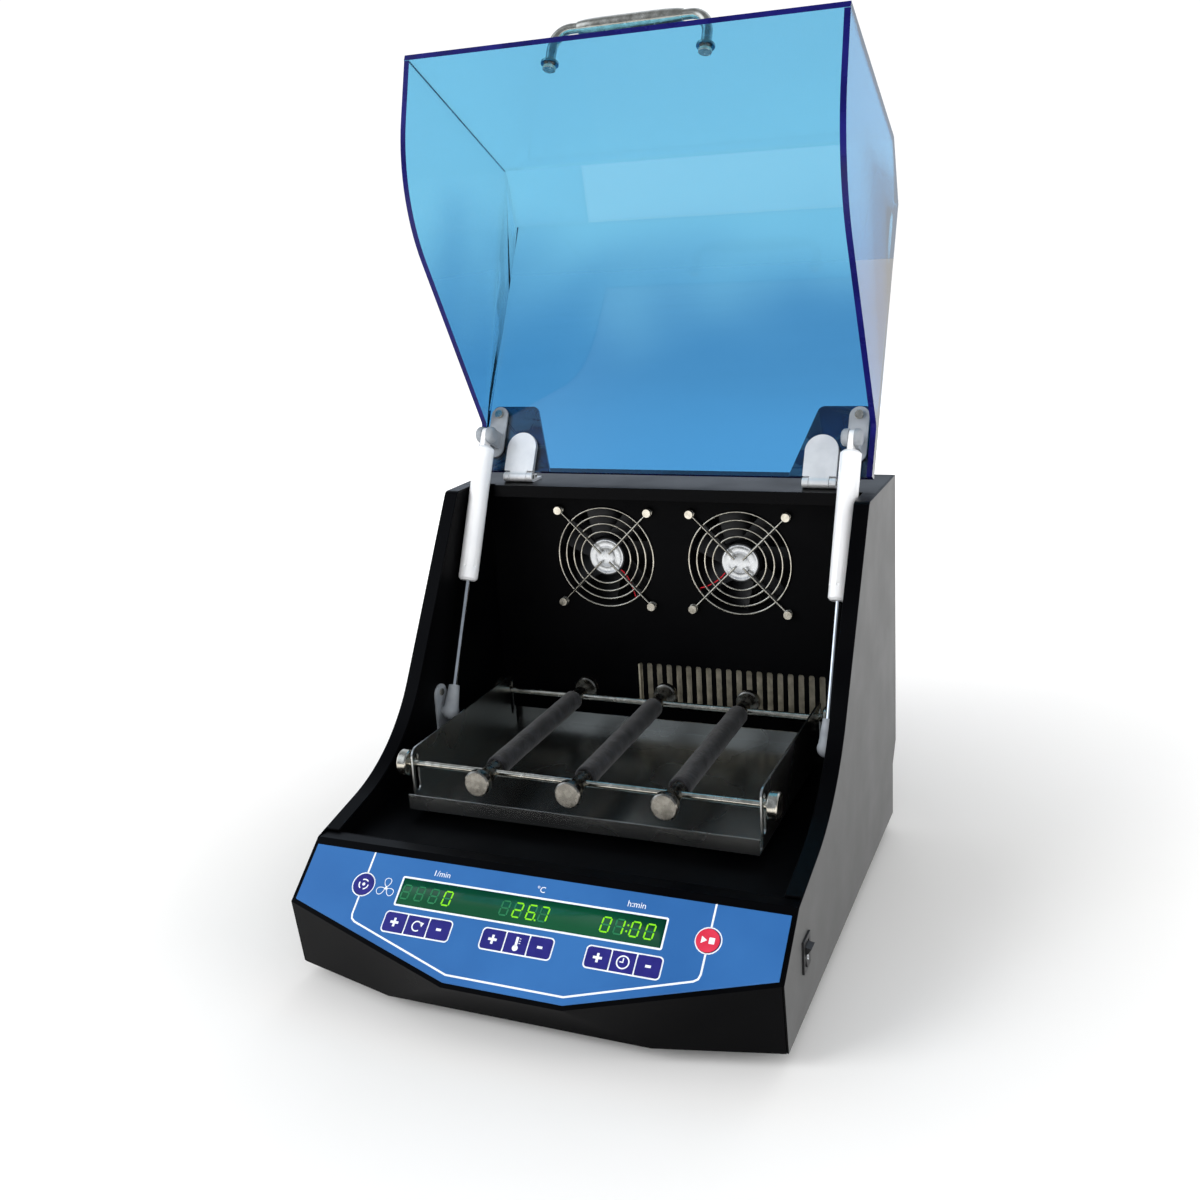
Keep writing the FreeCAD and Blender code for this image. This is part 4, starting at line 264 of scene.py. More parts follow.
def closed_cell_foam():
    material, tree, place = new_material("closed_cell_foam")
    cells = add(tree, "TexVoronoi", {"Scale": 1 / (CELL_MM * MM), "Vector": place})
    scuff = add(tree, "TexNoise",
                {"Scale": 1 / (SCUFF_MM * MM), "Detail": 6.0, "Roughness": 0.65, "Vector": place})
    part = add(tree, "MapRange", {"From Min": 0.4, "From Max": 0.68, "Value": scuff})
    tone = add(tree, "Mix",
               {"data_type": "RGBA", 6: colour("#0b0b0d"), 7: colour("#2a2a2e"), 0: part})
    relief = add(tree, "Bump",
                 {"Distance": 0.3 * MM, "Strength": 0.9, "Height": cells.outputs["Distance"]})
    skin = add(tree, "BsdfPrincipled", {
        "Base Color": tone.outputs[2], "Normal": relief, "Roughness": 0.95,
        "Specular IOR Level": 0.2, "Sheen Weight": 0.2})
    add(tree, "OutputMaterial", {"Surface": skin})
    return material


FOAM = closed_cell_foam()
print("foam cells", CELL_MM, "mm")

# %% [markdown]
# ## Tinted acrylic
#
# The lid is clear blue acrylic sheet. Light crosses the faces and comes out at the cut edges
# after a long run through the dye, so those edges look navy. Tracing that run is slow and noisy,
# so the edge faces have a darker material of their own. A painted brightening makes the sheet
# paler towards the free edge of the lid than near the hinge: its tint drifts along the sheet's
# height, with a soft noise cloud at the border, as painted light.

# %% Acrylic sheet and its cut edge
# Heights and depth in metres of the painted light that makes the sheet paler
PAINTED_PALE_FROM, PAINTED_PALE_TO, PAINTED_CLOUD_DEPTH = 0.4, 0.56, 0.14
PAINTED_CLOUD_MM = 130.0


def acrylic_sheet():
    material, tree, place = new_material("clear_blue_acrylic_sheet")
    axes = add(tree, "SeparateXYZ", {"Vector": place})
    cloud = add(tree, "TexNoise", {"Scale": 1 / (PAINTED_CLOUD_MM * MM), "Detail": 1.0, "Vector": place})
    # The tint is painted paler with height, broken up by a noise cloud: painted light on the sheet
    drift = add(tree, "Math",
                {"operation": "MULTIPLY_ADD", 1: PAINTED_CLOUD_DEPTH, 0: cloud, 2: axes.outputs["Z"]})
    part = add(tree, "MapRange", {
        "interpolation_type": "SMOOTHSTEP", "From Min": PAINTED_PALE_FROM + PAINTED_CLOUD_DEPTH / 2,
        "From Max": PAINTED_PALE_TO + PAINTED_CLOUD_DEPTH / 2, "Value": drift})
    tone = add(tree, "Mix",
               {"data_type": "RGBA", 6: colour("#4188bd"), 7: colour("#76c0e2"), 0: part})
    skin = add(tree, "BsdfPrincipled", {"Base Color": tone.outputs[2], "Roughness": 0.015,
                                        "IOR": 1.49, "Transmission Weight": 1.0})
    add(tree, "OutputMaterial", {"Surface": skin})
    return material


ACRYLIC = acrylic_sheet()
ACRYLIC_EDGE = surface("sawn_acrylic_edge", ("#0a0a4a", "#121262"), (0.2, 0.34), 20, 0.6, 0.004,
                       {"Specular IOR Level": 0.2})
print("acrylic tint drifts from", PAINTED_PALE_FROM, "to", PAINTED_PALE_TO, "m")

# %% [markdown]
# ## Printed film, keys and display
#
# The panel is a polyester film printed on its back, so its colour lies under a faint satin
# texture. The display shows through a dark green window: lit segments glow, and unlit ones can
# still be made out as a paler green. The glow is low, because the digits are read in daylight.

# %% Inks and display
SATIN = {"Coat Weight": 0.12, "Coat Roughness": 0.25, "Specular IOR Level": 0.3}
FILM = surface("blue_printed_film", ("#265f9f", "#2e6aab"), (0.32, 0.42), 70, 0.5, 0.005, SATIN)
INK_WHITE = surface("white_ink", ("#e4ebf5", "#f2f6fb"), (0.32, 0.42), 30, 0.5, 0.004, SATIN)
KEY_NAVY = surface("navy_key_film", ("#1c1a6e", "#26237c"), (0.3, 0.42), 9, 0.4, 0.005, SATIN)
KEY_RED = surface("red_key_film", ("#cf2742", "#da3852"), (0.3, 0.42), 9, 0.4, 0.005, SATIN)
WINDOW = surface("green_display_window", ("#083d26", "#0d5a36"), (0.12, 0.2), 80, 0.6, 0.002)
BOARD = surface("circuit_board_resist", ("#0c4a26", "#115a30"), (0.3, 0.45), 8, 0.6, 0.01)
LIT = surface("lit_segment", ("#6cbd00", "#7fd008"), (0.35, 0.45), 3, 0.5, 0.002,
              {"Emission Color": colour("#66c400"), "Emission Strength": 0.4})
UNLIT = surface("unlit_segment", ("#0f6a40", "#1a7a4c"), (0.35, 0.45), 6, 0.5, 0.002)
print("materials so far", len(bpy.data.materials))

# %% [markdown]
# ## Rounding the CAD pieces
#
# CAD edges are perfectly sharp, and nothing real is. A copy of each node is merged into a clean
# shell, its flat triangles are joined, and a small bevel catches the light along every fold and
# rim. The copy replaces the node, which is hidden.

# %% Functions that dress a node
SMOOTH_ANGLE, FLAT_ANGLE = math.radians(32), math.radians(0.4)
MERGE = 2e-6


def clean_copy(node):
    """A merged copy of a CAD node's mesh, with coplanar triangles joined."""
    mesh = bmesh.new()
    mesh.from_mesh(frame["nodes"][node].data)
    bmesh.ops.remove_doubles(mesh, verts=mesh.verts, dist=MERGE)
    bmesh.ops.dissolve_limit(mesh, angle_limit=FLAT_ANGLE, verts=mesh.verts, edges=mesh.edges)
    return mesh


def body_of(node):
    """The CAD body that carries a node."""
    for body, nodes in frame["record"]["behaviour"]["bodies"].items():
        if node in nodes:
            return body


def place_mesh(name, data, body):
    """Put a finished mesh in the scene, on a CAD body."""
    piece = bpy.data.objects.new(name, data)
    put_in_scene(piece)
    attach(piece, body)
    return piece


def new_piece(name, mesh, materials, body):
    """Make a piece from a bmesh and its materials."""
    data = bpy.data.meshes.new(name)
    mesh.to_mesh(data)
    mesh.free()
    for material in materials:
        data.materials.append(material)
    return place_mesh(name, data, body)


def round_edges(piece, width_mm):
    """Bevel sharp edges and shade the rest smooth."""
    piece.data.shade_smooth()
    piece.data.set_sharp_from_angle(angle=SMOOTH_ANGLE)
    if width_mm:
        bevel = piece.modifiers.new("rounded", "BEVEL")
        bevel.width = width_mm * MM
        bevel.segments = 2
        bevel.limit_method = "ANGLE"
        bevel.angle_limit = SMOOTH_ANGLE
        bevel.harden_normals = True


def dress(node, materials, width_mm, rule=None, mesh=None):
    """Replace a node by a rounded copy; rule picks a face's material by its middle and normal."""
    mesh = mesh or clean_copy(node)
    if rule:
        for face in mesh.faces:
            face.material_index = rule(face.calc_center_median() / MM, face.normal)
    piece = new_piece(node + "_skin", mesh, materials, body_of(node))
    round_edges(piece, width_mm)
    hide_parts(node)
    return piece


print("edges sharper than", round(math.degrees(SMOOTH_ANGLE)), "degrees are rounded")

# %% [markdown]
# ## Case, chamber and base
#
# The folded panels have the powder coat, their outer side skins the rubbed one with its base
# painted lighter as a painted reflection, and the chamber's own sheets the flat paint. A fold in
# 1.5 mm steel has an outer radius of about half a millimetre, which is the bevel used here. A rule
# on each face's place and direction picks the side skins.

# %% Dress the case
FOLD_MM = 0.5
SIDE_SKIN_X = 179.9
OUTER = ("base_pan", "front_fascia", "rear_panel", "top_rail")
CHAMBER = ("chamber_side_walls", "chamber_back_wall", "chamber_floor")


def skin_rule(middle, normal):
    return 1 if abs(middle.x) > SIDE_SKIN_X and abs(normal.x) > 0.9 else 0


for name in OUTER:
    dress(name, [POWDER_COAT], FOLD_MM)
for name in ("left_side_panel", "right_side_panel"):
    dress(name, [POWDER_COAT, SIDE_COAT_PAINTED_REFLECTION], FOLD_MM, skin_rule)
for name in CHAMBER:
    dress(name, [FLAT_PAINT], FOLD_MM)
dress("rubber_feet", [RUBBER], 0.6)
for name, width in (("switch_frame", 0.4), ("switch_rocker", 0.5), ("fan_frames", 0.4)):
    dress(name, [BLACK_ABS], width)
print("case panels", len(OUTER) + len(CHAMBER) + 2)

# %% Dress what lies inside the case
INSIDE = {
    "drive_motor": ALUMINIUM, "drive_frame": ALUMINIUM, "tray_carrier": ALUMINIUM,
    "drive_crank": STEEL, "idler_crank_left": STEEL, "idler_crank_right": STEEL,
    "motor_pulley": STEEL, "frame_bearings": CHROME, "carrier_bearings": CHROME,
    "drive_belt": RUBBER, "power_board": BOARD, "heater_element": SHIELD}
for name, material in INSIDE.items():
    dress(name, [material], 0)
print("inner pieces", len(INSIDE))

# %% [markdown]
# ## The lid
#
# The cover and both side walls are glued into one clear shell. Where two glass-like meshes touch,
# the renderer would see two surfaces and an air gap, so the three sheets are joined by a boolean
# first. Only the cut edges that stay free are navy. To tell them apart, each face is turned back
# to the closed lid, where the sheets lie along the axes.

# %% Join the acrylic sheets and colour the cut edges
HINGE_AT = Vector((0, 116.5, 309.3))
OPEN_ANGLE = math.radians(117.7)
LID_INNER_X, LID_FREE_Z, LID_HINGE_Y, COVER_TOP_Z = 168.4, 96.6, 111.4, 314.2
CLOSE = Matrix.Rotation(OPEN_ANGLE, 3, "X")


def closed_point(point):
    """Where a point of the open lid, in mm, lies when the lid is closed."""
    return CLOSE @ (point - HINGE_AT) + HINGE_AT


def lid_edge(middle, normal):
    """1 on the free cut edges of the acrylic, 0 elsewhere."""
    at, way = closed_point(middle), CLOSE @ normal
    free_side = abs(way.x) < 0.5 and abs(at.x) > LID_INNER_X
    front = way.z < -0.9 and at.z < LID_FREE_Z
    back = way.y > 0.9 and at.y > LID_HINGE_Y
    return 1 if free_side or front or back else 0


def settled(thing):
    """The mesh of an object with its modifiers applied, for which the object goes."""
    bpy.context.view_layer.update()
    data = bpy.data.meshes.new_from_object(
        thing.evaluated_get(bpy.context.evaluated_depsgraph_get()))
    bpy.data.objects.remove(thing)
    return data


def combined(first, second, operation):
    """Join or cut two closed meshes with a boolean and hand back the result as a bmesh."""
    solids = []
    for mesh in (first, second):
        data = bpy.data.meshes.new("solid")
        mesh.to_mesh(data)
        mesh.free()
        solids.append(bpy.data.objects.new("solid", data))
        put_in_scene(solids[-1])
    boolean = solids[0].modifiers.new("boolean", "BOOLEAN")
    boolean.operation, boolean.solver, boolean.object = operation, "EXACT", solids[1]
    boolean.use_self = operation == "DIFFERENCE"
    result = bmesh.new()
    result.from_mesh(settled(solids[0]))
    bpy.data.objects.remove(solids[1])
    return result


shell = combined(clean_copy("lid_cover"), clean_copy("lid_sides"), "UNION")
bmesh.ops.dissolve_limit(shell, angle_limit=FLAT_ANGLE, verts=shell.verts, edges=shell.edges)
edge_faces = 0
for face in shell.faces:
    face.material_index = lid_edge(face.calc_center_median() / MM, face.normal)
    edge_faces += face.material_index
lid = new_piece("lid_shell", shell, [ACRYLIC, ACRYLIC_EDGE], "lid")
round_edges(lid, 0.35)
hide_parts("lid_cover", "lid_sides")
print("lid faces", len(lid.data.polygons), "of them on free edges", edge_faces)

# %% [markdown]
# ## Hinges and brackets
#
# The arched leaves are tumbled aluminium, while the plates behind the acrylic are bare steel and
# turn navy through it. Leaf and plate are one node, so the height of a face on the closed lid
# tells them apart.

# %% Dress the lid's hardware


def plate_rule(middle, normal):
    return 1 if closed_point(middle).z > COVER_TOP_Z else 0


dress("lid_hinge_plates", [ALUMINIUM, PLATE], 0.5, plate_rule)
dress("case_hinge_leaves", [ALUMINIUM], 0.3)
dress("strut_brackets", [GREY_NYLON], 0.8)
dress("strut_wall_plates", [GREY_NYLON], 0.5)
print("cover's top on the closed lid", COVER_TOP_Z, "mm")

# %% [markdown]
# ## The gas struts
#
# Each strut has a lacquered tube and a chromed rod that ends in a moulded socket. The rod and its
# socket are one node, so a rule measures how far a face lies down the strut. The tubes follow
# further on, because their crimp is grown.

# %% Dress the struts
STRUT_TOP = Vector((0, 113.42, 346.26))
STRUT_FOOT = Vector((0, 10.5, 130.5))
STRUT_WAY = (STRUT_FOOT - STRUT_TOP).normalized()
SOCKET_FROM = 216.0  # mm down the strut


def rod_rule(middle, normal):
    reach = (Vector((0, middle.y, middle.z)) - STRUT_TOP).dot(STRUT_WAY)
    return 1 if reach > SOCKET_FROM else 0


for side in ("left", "right"):
    dress("strut_rod_" + side, [CHROME, GREY_NYLON], 0.3, rod_rule)
print("strut length", round((STRUT_FOOT - STRUT_TOP).length, 1), "mm")

# %% [markdown]
# ## The tray and its rollers
#
# The tray and bars keep their CAD shapes with softened edges. The foam is modelled again: a cut
# tube is never quite round, so its rings swell and sink by a few tenths of a millimetre, and both
# ends are pinched and torn a little. The profile is turned about the roller's axis in mesh code,
# and a noise with a fixed place for each vertex moves it.

# %% Dress the tray and turn the foam
dress("tray", [STAINLESS], 0.3)
dress("clamp_bars", [NICKEL], 0.3)
FOAM_FROM, FOAM_TO = -76.9, 70.9
FOAM_R, BORE_R, BAR_Z = 8.3, 6.05, 126.4
FOAM_RINGS, FOAM_STEPS = 90, 40
RIM_MM, RIM_IN = 2.2, 0.9
BROAD_MM, TORN_MM, DENT_MM, INSET_MM = 14, 2.5, 0.28, 0.1


def turned(profile, centre, steps, closed=True):
    """Turn a profile of (y, radius) points, in mm, about a line along Y."""
    mesh = bmesh.new()
    rings = []
    for y, radius in profile:
        rings.append([
            mesh.verts.new(mm(centre[0] + radius * math.cos(4 * QUARTER * i / steps), y,
                              centre[1] + radius * math.sin(4 * QUARTER * i / steps)))
            for i in range(steps)])
    pairs = list(zip(rings, rings[1:] + (rings[:1] if closed else [])))
    for first, second in pairs:
        for i in range(steps):
            j = (i + 1) % steps
            mesh.faces.new((first[i], first[j], second[j], second[i]))
    if not closed:
        mesh.faces.new(rings[0])
        mesh.faces.new(rings[-1])
    bmesh.ops.recalc_face_normals(mesh, faces=mesh.faces)
    return mesh


def foam_profile():
    """The outer line from end to end with rolled-in edges, then the bore back."""
    outer = []
    for i in range(FOAM_RINGS + 1):
        y = FOAM_FROM + (FOAM_TO - FOAM_FROM) * i / FOAM_RINGS
        rim = min(y - FOAM_FROM, FOAM_TO - y) / RIM_MM
        outer.append((y, FOAM_R - RIM_IN * max(0, 1 - rim) ** 2))
    return outer + [(FOAM_TO, BORE_R), (FOAM_FROM, BORE_R)]


for index in (1, 2, 3):
    bar, sleeve = "roller_bar_%d" % index, "foam_sleeve_%d" % index
    dress(bar, [TURNED_DARKENED], 0.4)
    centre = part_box(bar)
    axis_x = (centre[0][0] + centre[1][0]) / 2 / MM
    mesh = turned(foam_profile(), (axis_x, BAR_Z), FOAM_STEPS)
    for vertex in mesh.verts:
        out = vertex.co / MM - Vector((axis_x, vertex.co.y / MM, BAR_Z))
        if out.length > BORE_R + 0.2:
            broad = noise.noise(vertex.co / (BROAD_MM * MM) + Vector((index * 7.3, 0, 0)))
            torn = noise.noise(vertex.co / (TORN_MM * MM))
            dent = broad * DENT_MM + torn * DENT_MM / 3 - INSET_MM
            vertex.co += out.normalized() * dent * MM
    foam = new_piece("foam_skin_%d" % index, mesh, [FOAM], body_of(sleeve))
    foam.data.shade_smooth()
    foam.data.set_sharp_from_angle(angle=math.radians(50))
    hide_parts(sleeve)
print("foam length", FOAM_TO - FOAM_FROM, "mm")

# %% [markdown]
# ## The control panel
#
# Print is modelled as ink with a real edge: thin prisms a few hundredths of a millimetre proud of
# the film. Everything is drawn flat, in millimetres across and down the slope, and one matrix
# lays it on the panel.

# %% Lay out the panel
PANEL_TOP = Vector((0, -160.0, 95.0))
PANEL_SLOPE = math.atan2(56.0, 71.0)
FILM_MM = 0.8
INK_MM = 0.05
ON_PANEL = Matrix.Translation(PANEL_TOP * MM) @ Matrix.Rotation(PANEL_SLOPE, 4, "X")


def panel_point(x, down, out):
    return ON_PANEL @ mm(x, -down, out)


def prism(mesh, outline, low, high, index=0):
    """Add a closed prism over a flat outline of (x, down) points."""
    area = sum(a[0] * b[1] - b[0] * a[1] for a, b in zip(outline, outline[1:] + outline[:1]))
    points = outline if area < 0 else outline[::-1]
    bottom = [mesh.verts.new(panel_point(x, down, low)) for x, down in points]
    top = [mesh.verts.new(panel_point(x, down, high)) for x, down in points]
    faces = [mesh.faces.new(top), mesh.faces.new(bottom[::-1])]
    for i in range(len(points)):
        j = (i + 1) % len(points)
        faces.append(mesh.faces.new((bottom[i], bottom[j], top[j], top[i])))
    for face in faces:
        face.material_index = index


def ribbon(points, width, closed=False):
    """The quads of a line of a given width, mitred at its corners."""
    path = [Vector(p) for p in points]
    count = len(path)
    sides = []
    for i, point in enumerate(path):
        before = path[i - 1] if i or closed else point
        after = path[(i + 1) % count] if i < count - 1 or closed else point
        ways = [(b - a).normalized() for a, b in ((before, point), (point, after)) if a != b]
        mitre = Vector((0, 0))
        for way in ways:
            mitre += Vector((-way.y, way.x))
        mitre.normalize()
        lean = max(0.35, mitre.dot(Vector((-ways[0].y, ways[0].x))))
        sides.append((point + mitre * width / 2 / lean, point - mitre * width / 2 / lean))
    quads = []
    for i in range(count if closed else count - 1):
        j = (i + 1) % count
        quads.append([sides[i][0], sides[j][0], sides[j][1], sides[i][1]])
    return quads


def arc(centre, radius, start=0, end=345, steps=23):
    """Points on an arc, a circle unless told otherwise, in degrees from across to down."""
    turns = [math.radians(start + (end - start) * i / steps) for i in range(steps + 1)]
    return [(centre[0] + radius * math.cos(t), centre[1] + radius * math.sin(t)) for t in turns]


def rounded(centre, width, height, radius, steps=5):
    """A rectangle outline with rounded corners, clockwise from the top left."""
    x0, x1 = centre[0] - width / 2 + radius, centre[0] + width / 2 - radius
    y0, y1 = centre[1] - height / 2 + radius, centre[1] + height / 2 - radius
    points = []
    for middle, start in (((x0, y0), 180), ((x1, y0), 270), ((x1, y1), 0), ((x0, y1), 90)):
        points += arc(middle, radius, start, start + 90, steps)
    return points


print("panel slope", round(math.degrees(PANEL_SLOPE), 1), "degrees")

# %% [markdown]
# ## The printed film
#
# The film is the CAD sheet with a satin skin. On it go a white outline that follows the nose, a
# frame round the display, and the three key groups with their symbols. Signs that anyone knows
# stand for what the keys do, and only the units are written out.

# %% Print the film
dress("control_overlay", [FILM], 0.15)
LINE_MM, RING_MM = 1.3, 0.8
FILM_TOP, OUTLINE_X = 6.0, 127.4
KINK_DOWN, KINK_ROUND = 56.5, 4.0
LOW_X, LOW_DOWN = 42.5, 82.0
ROUND_KEY_DOWN, ROUND_KEY_R = 30.5, 7.8
DISPLAY_W, DISPLAY_TOP, DISPLAY_H = 195.0, 21.1, 19.3
INK_LOW, INK_HIGH = FILM_MM - INK_MM, FILM_MM + INK_MM
print_mesh = bmesh.new()


def print_shape(outline, index=0, lift=0.0):
    prism(print_mesh, outline, INK_LOW, INK_HIGH + lift, index)


def print_line(points, width, closed=False, lift=0.0):
    for quad in ribbon(points, width, closed):
        print_shape(quad, 0, lift)


for side in (-1, 1):
    x = side * OUTLINE_X
    print_line([(x, FILM_TOP), (x, ROUND_KEY_DOWN - ROUND_KEY_R - RING_MM)], LINE_MM)
    slant = Vector((side * LOW_X - x, LOW_DOWN - KINK_DOWN)).normalized() * KINK_ROUND
    print_line([(x, ROUND_KEY_DOWN + ROUND_KEY_R + RING_MM), (x, KINK_DOWN - KINK_ROUND),
                (x - side * KINK_ROUND * 0.25, KINK_DOWN - KINK_ROUND * 0.2),
                (x + slant.x, KINK_DOWN + slant.y), (side * LOW_X, LOW_DOWN)], LINE_MM)
    print_line(arc((x, ROUND_KEY_DOWN), ROUND_KEY_R + RING_MM), RING_MM, closed=True)
print_line([(-LOW_X, LOW_DOWN), (LOW_X, LOW_DOWN)], LINE_MM)
display_middle = (0, DISPLAY_TOP + DISPLAY_H / 2)
print_line(rounded(display_middle, DISPLAY_W + LINE_MM, DISPLAY_H + LINE_MM, 0.8, 2), LINE_MM,
           closed=True)
print("outline printed", len(print_mesh.faces))

# %% Print the key groups
GROUP_X = (-75.5, 0.0, 75.5)
GROUP_DOWN = 53.4
KEY_W, KEY_H, KEY_CORNER, KEY_GAP = 16.4, 13.6, 2.6, 0.9
SEAM_MM, SIGN_MM, THIN_MM = 1.0, 0.9, 0.45
SEAM_LIFT, SIGN_LIFT = 0.02, 0.03


def key_frame(x):
    """White seams round the three squares of a group, and the navy middle square."""
    width = KEY_W * 3 + KEY_GAP * 2
    print_line(rounded((x, GROUP_DOWN), width + SEAM_MM, KEY_H + SEAM_MM, KEY_CORNER), SEAM_MM,
               closed=True)
    print_shape(rounded((x, GROUP_DOWN), KEY_W, KEY_H, 0.5, 1), 1)
    for side in (-1, 1):
        seam = x + side * (KEY_W + KEY_GAP) / 2
        print_line([(seam, GROUP_DOWN - KEY_H / 2), (seam, GROUP_DOWN + KEY_H / 2)], SEAM_MM,
                   lift=SEAM_LIFT)


for x in GROUP_X:
    key_frame(x)
turn_x, stem_x, clock_x = GROUP_X
turn_sign = arc((turn_x, GROUP_DOWN), 3.4, -20, -310, 18)
tip_x, tip_down = turn_sign[0]
signs = ribbon(turn_sign, SIGN_MM)
signs.append([(tip_x - 2.2, tip_down - 2.4), (tip_x + 1.6, tip_down - 1.6),
              (tip_x + 0.4, tip_down + 1.4)])
signs.append(arc((stem_x, GROUP_DOWN + 3.0), 2.1, steps=16))
signs += ribbon([(stem_x, GROUP_DOWN + 2), (stem_x, GROUP_DOWN - 4.6)], 1.9)
for step in range(3):
    down = GROUP_DOWN - 3.6 + step * 1.6
    signs += ribbon([(stem_x + 1.6, down), (stem_x + 2.8, down)], THIN_MM)
signs += ribbon(arc((clock_x, GROUP_DOWN), 4.1), SIGN_MM, closed=True)
signs += ribbon([(clock_x, GROUP_DOWN - 2.8), (clock_x, GROUP_DOWN), (clock_x - 2.2, GROUP_DOWN)],
                0.7)
for shape in signs:
    print_shape(shape, lift=SIGN_LIFT)
print("key groups printed", len(print_mesh.faces))

# %% Print the fan symbol and finish the print
FAN_SYMBOL, BLADE_REACH = Vector((-109.0, 30.6)), 4.3
for blade in range(3):
    angle = math.radians(-90 + blade * 120)
    outward = Vector((math.cos(angle), math.sin(angle)))
    sideways = Vector((-outward.y, outward.x))
    lobe = []
    for x, down in arc((0, 0), 1, steps=15):
        along, across = BLADE_REACH + x * 3.1, down * (2.5 + 0.8 * x)
        lobe.append(FAN_SYMBOL + outward * along + sideways * across)
    print_line(lobe, THIN_MM, closed=True)
print_shape(arc(FAN_SYMBOL, 1.1, steps=12))
panel_print = new_piece("panel_print", print_mesh, [INK_WHITE, KEY_NAVY], "case")
print("panel print faces", len(panel_print.data.polygons))

# %% [markdown]
# ## Units
#
# Text starts as a Blender text object, because it brings the letter shapes with it. It is made a
# mesh before its place is applied, so the finished piece sits at the origin like the others.

# %% Write the units
UNITS = (("1/min", -70.0), ("°C", 6.0), ("h:min", 75.0))
UNIT_MM, UNIT_DOWN = 6.0, 14.6


def unit(name, word, x):
    """A unit as a thin mesh, laid on the film."""
    line = bpy.data.curves.new(name, "FONT")
    line.body = word
    line.size, line.extrude = UNIT_MM * MM, INK_MM * MM
    line.align_x = line.align_y = "CENTER"
    line.resolution_u = 3
    legend = bpy.data.objects.new(name, line)
    put_in_scene(legend)
    data = settled(legend)
    data.transform(ON_PANEL @ Matrix.Translation(mm(x, -UNIT_DOWN, FILM_MM)))
    data.materials.clear()
    data.materials.append(INK_WHITE)
    place_mesh(name, data, "case")


for index, (word, x) in enumerate(UNITS):
    unit("unit_%d" % (index + 1), word, x)
print("units", len(UNITS))

# %% [markdown]
# ## The display
#
# Each digit is seven bars with pointed ends. A table of which bars light for which figure, read
# in the usual order a to g, turns any text into segments, so the digits stay numbers in the
# script instead of drawn shapes.

# %% Build the window and its digits
WINDOW_OUT = 0.3


def window_rule(middle, normal):
    local = ON_PANEL.inverted() @ (middle * MM)
    return 1 if local.z > WINDOW_OUT * 0.9 * MM else 0


dress("display_board", [BOARD, WINDOW], 0, window_rule)
SEGMENTS = {"0": "abcdef", "1": "bc", "2": "abged", "3": "abgcd", "4": "fgbc", "5": "afgcd",
            "6": "afgedc", "7": "abc", "8": "abcdefg", "9": "abcdfg", " ": ""}
DIGIT_W, DIGIT_H, BAR_MM, LEAN = 5.6, 9.9, 1.05, 0.1
DIGIT_TOP = DISPLAY_TOP + 4.7
ENDS = {"a": ((0, 0), (1, 0)), "b": ((1, 0), (1, 0.5)), "c": ((1, 0.5), (1, 1)),
        "d": ((0, 1), (1, 1)), "e": ((0, 0.5), (0, 1)), "f": ((0, 0), (0, 0.5)),
        "g": ((0, 0.5), (1, 0.5))}
digits = bmesh.new()


def segment(left, start, end, index):
    """One pointed bar of a digit whose left edge is at left."""
    a, b = [Vector((left + x * DIGIT_W + (1 - down) * LEAN * DIGIT_H, DIGIT_TOP + down * DIGIT_H))
            for x, down in (start, end)]
    way = (b - a).normalized()
    side = Vector((-way.y, way.x)) * BAR_MM / 2
    near, far = a + way * BAR_MM * 0.2, b - way * BAR_MM * 0.2
    inner, outer = near + way * BAR_MM / 2, far - way * BAR_MM / 2
    outline = [near, inner + side, outer + side, far, outer - side, inner - side]
    prism(digits, outline, WINDOW_OUT, WINDOW_OUT + INK_MM, index)


READOUTS = (("   0", (-96.2, -85.2, -74.2, -63.6)), (" 267", (-19.4, -9.7, 0.4, 9.4)),
            ("0100", (54.0, 63.4, 74.4, 84.6)))
for text, lefts in READOUTS:
    for figure, left in zip(text, lefts):
        for name, (start, end) in ENDS.items():
            segment(left, start, end, 0 if name in SEGMENTS[figure] else 1)
for x, part in ((7.6, 1), (72.6, 0.3), (72.2, 0.72)):
    point = arc((x, DIGIT_TOP + DIGIT_H * part), 0.7, end=330, steps=11)
    prism(digits, point, WINDOW_OUT, WINDOW_OUT + INK_MM)
readout = new_piece("display_digits", digits, [LIT, UNLIT], "case")
print("digit faces", len(readout.data.polygons))

# %% [markdown]
# ## The keys
#
# A key is a film cap, so it keeps its CAD shape with softly domed edges. Its sign rides on the
# key's own body, because it moves with the key when it is pressed.

# %% Dress the keys
CAP_OUT = 1.35
PLUS_REACH, MINUS_REACH, STROKE_MM = 3.1, 1.9, 1.7
KEYS = {"key_fan": (-127.0, ROUND_KEY_DOWN), "key_start_stop": (127.0, ROUND_KEY_DOWN)}
for label, x in zip(("speed", "heat", "time"), GROUP_X):
    KEYS["key_%s_up" % label] = (x - KEY_W - KEY_GAP, GROUP_DOWN)
    KEYS["key_%s_down" % label] = (x + KEY_W + KEY_GAP, GROUP_DOWN)


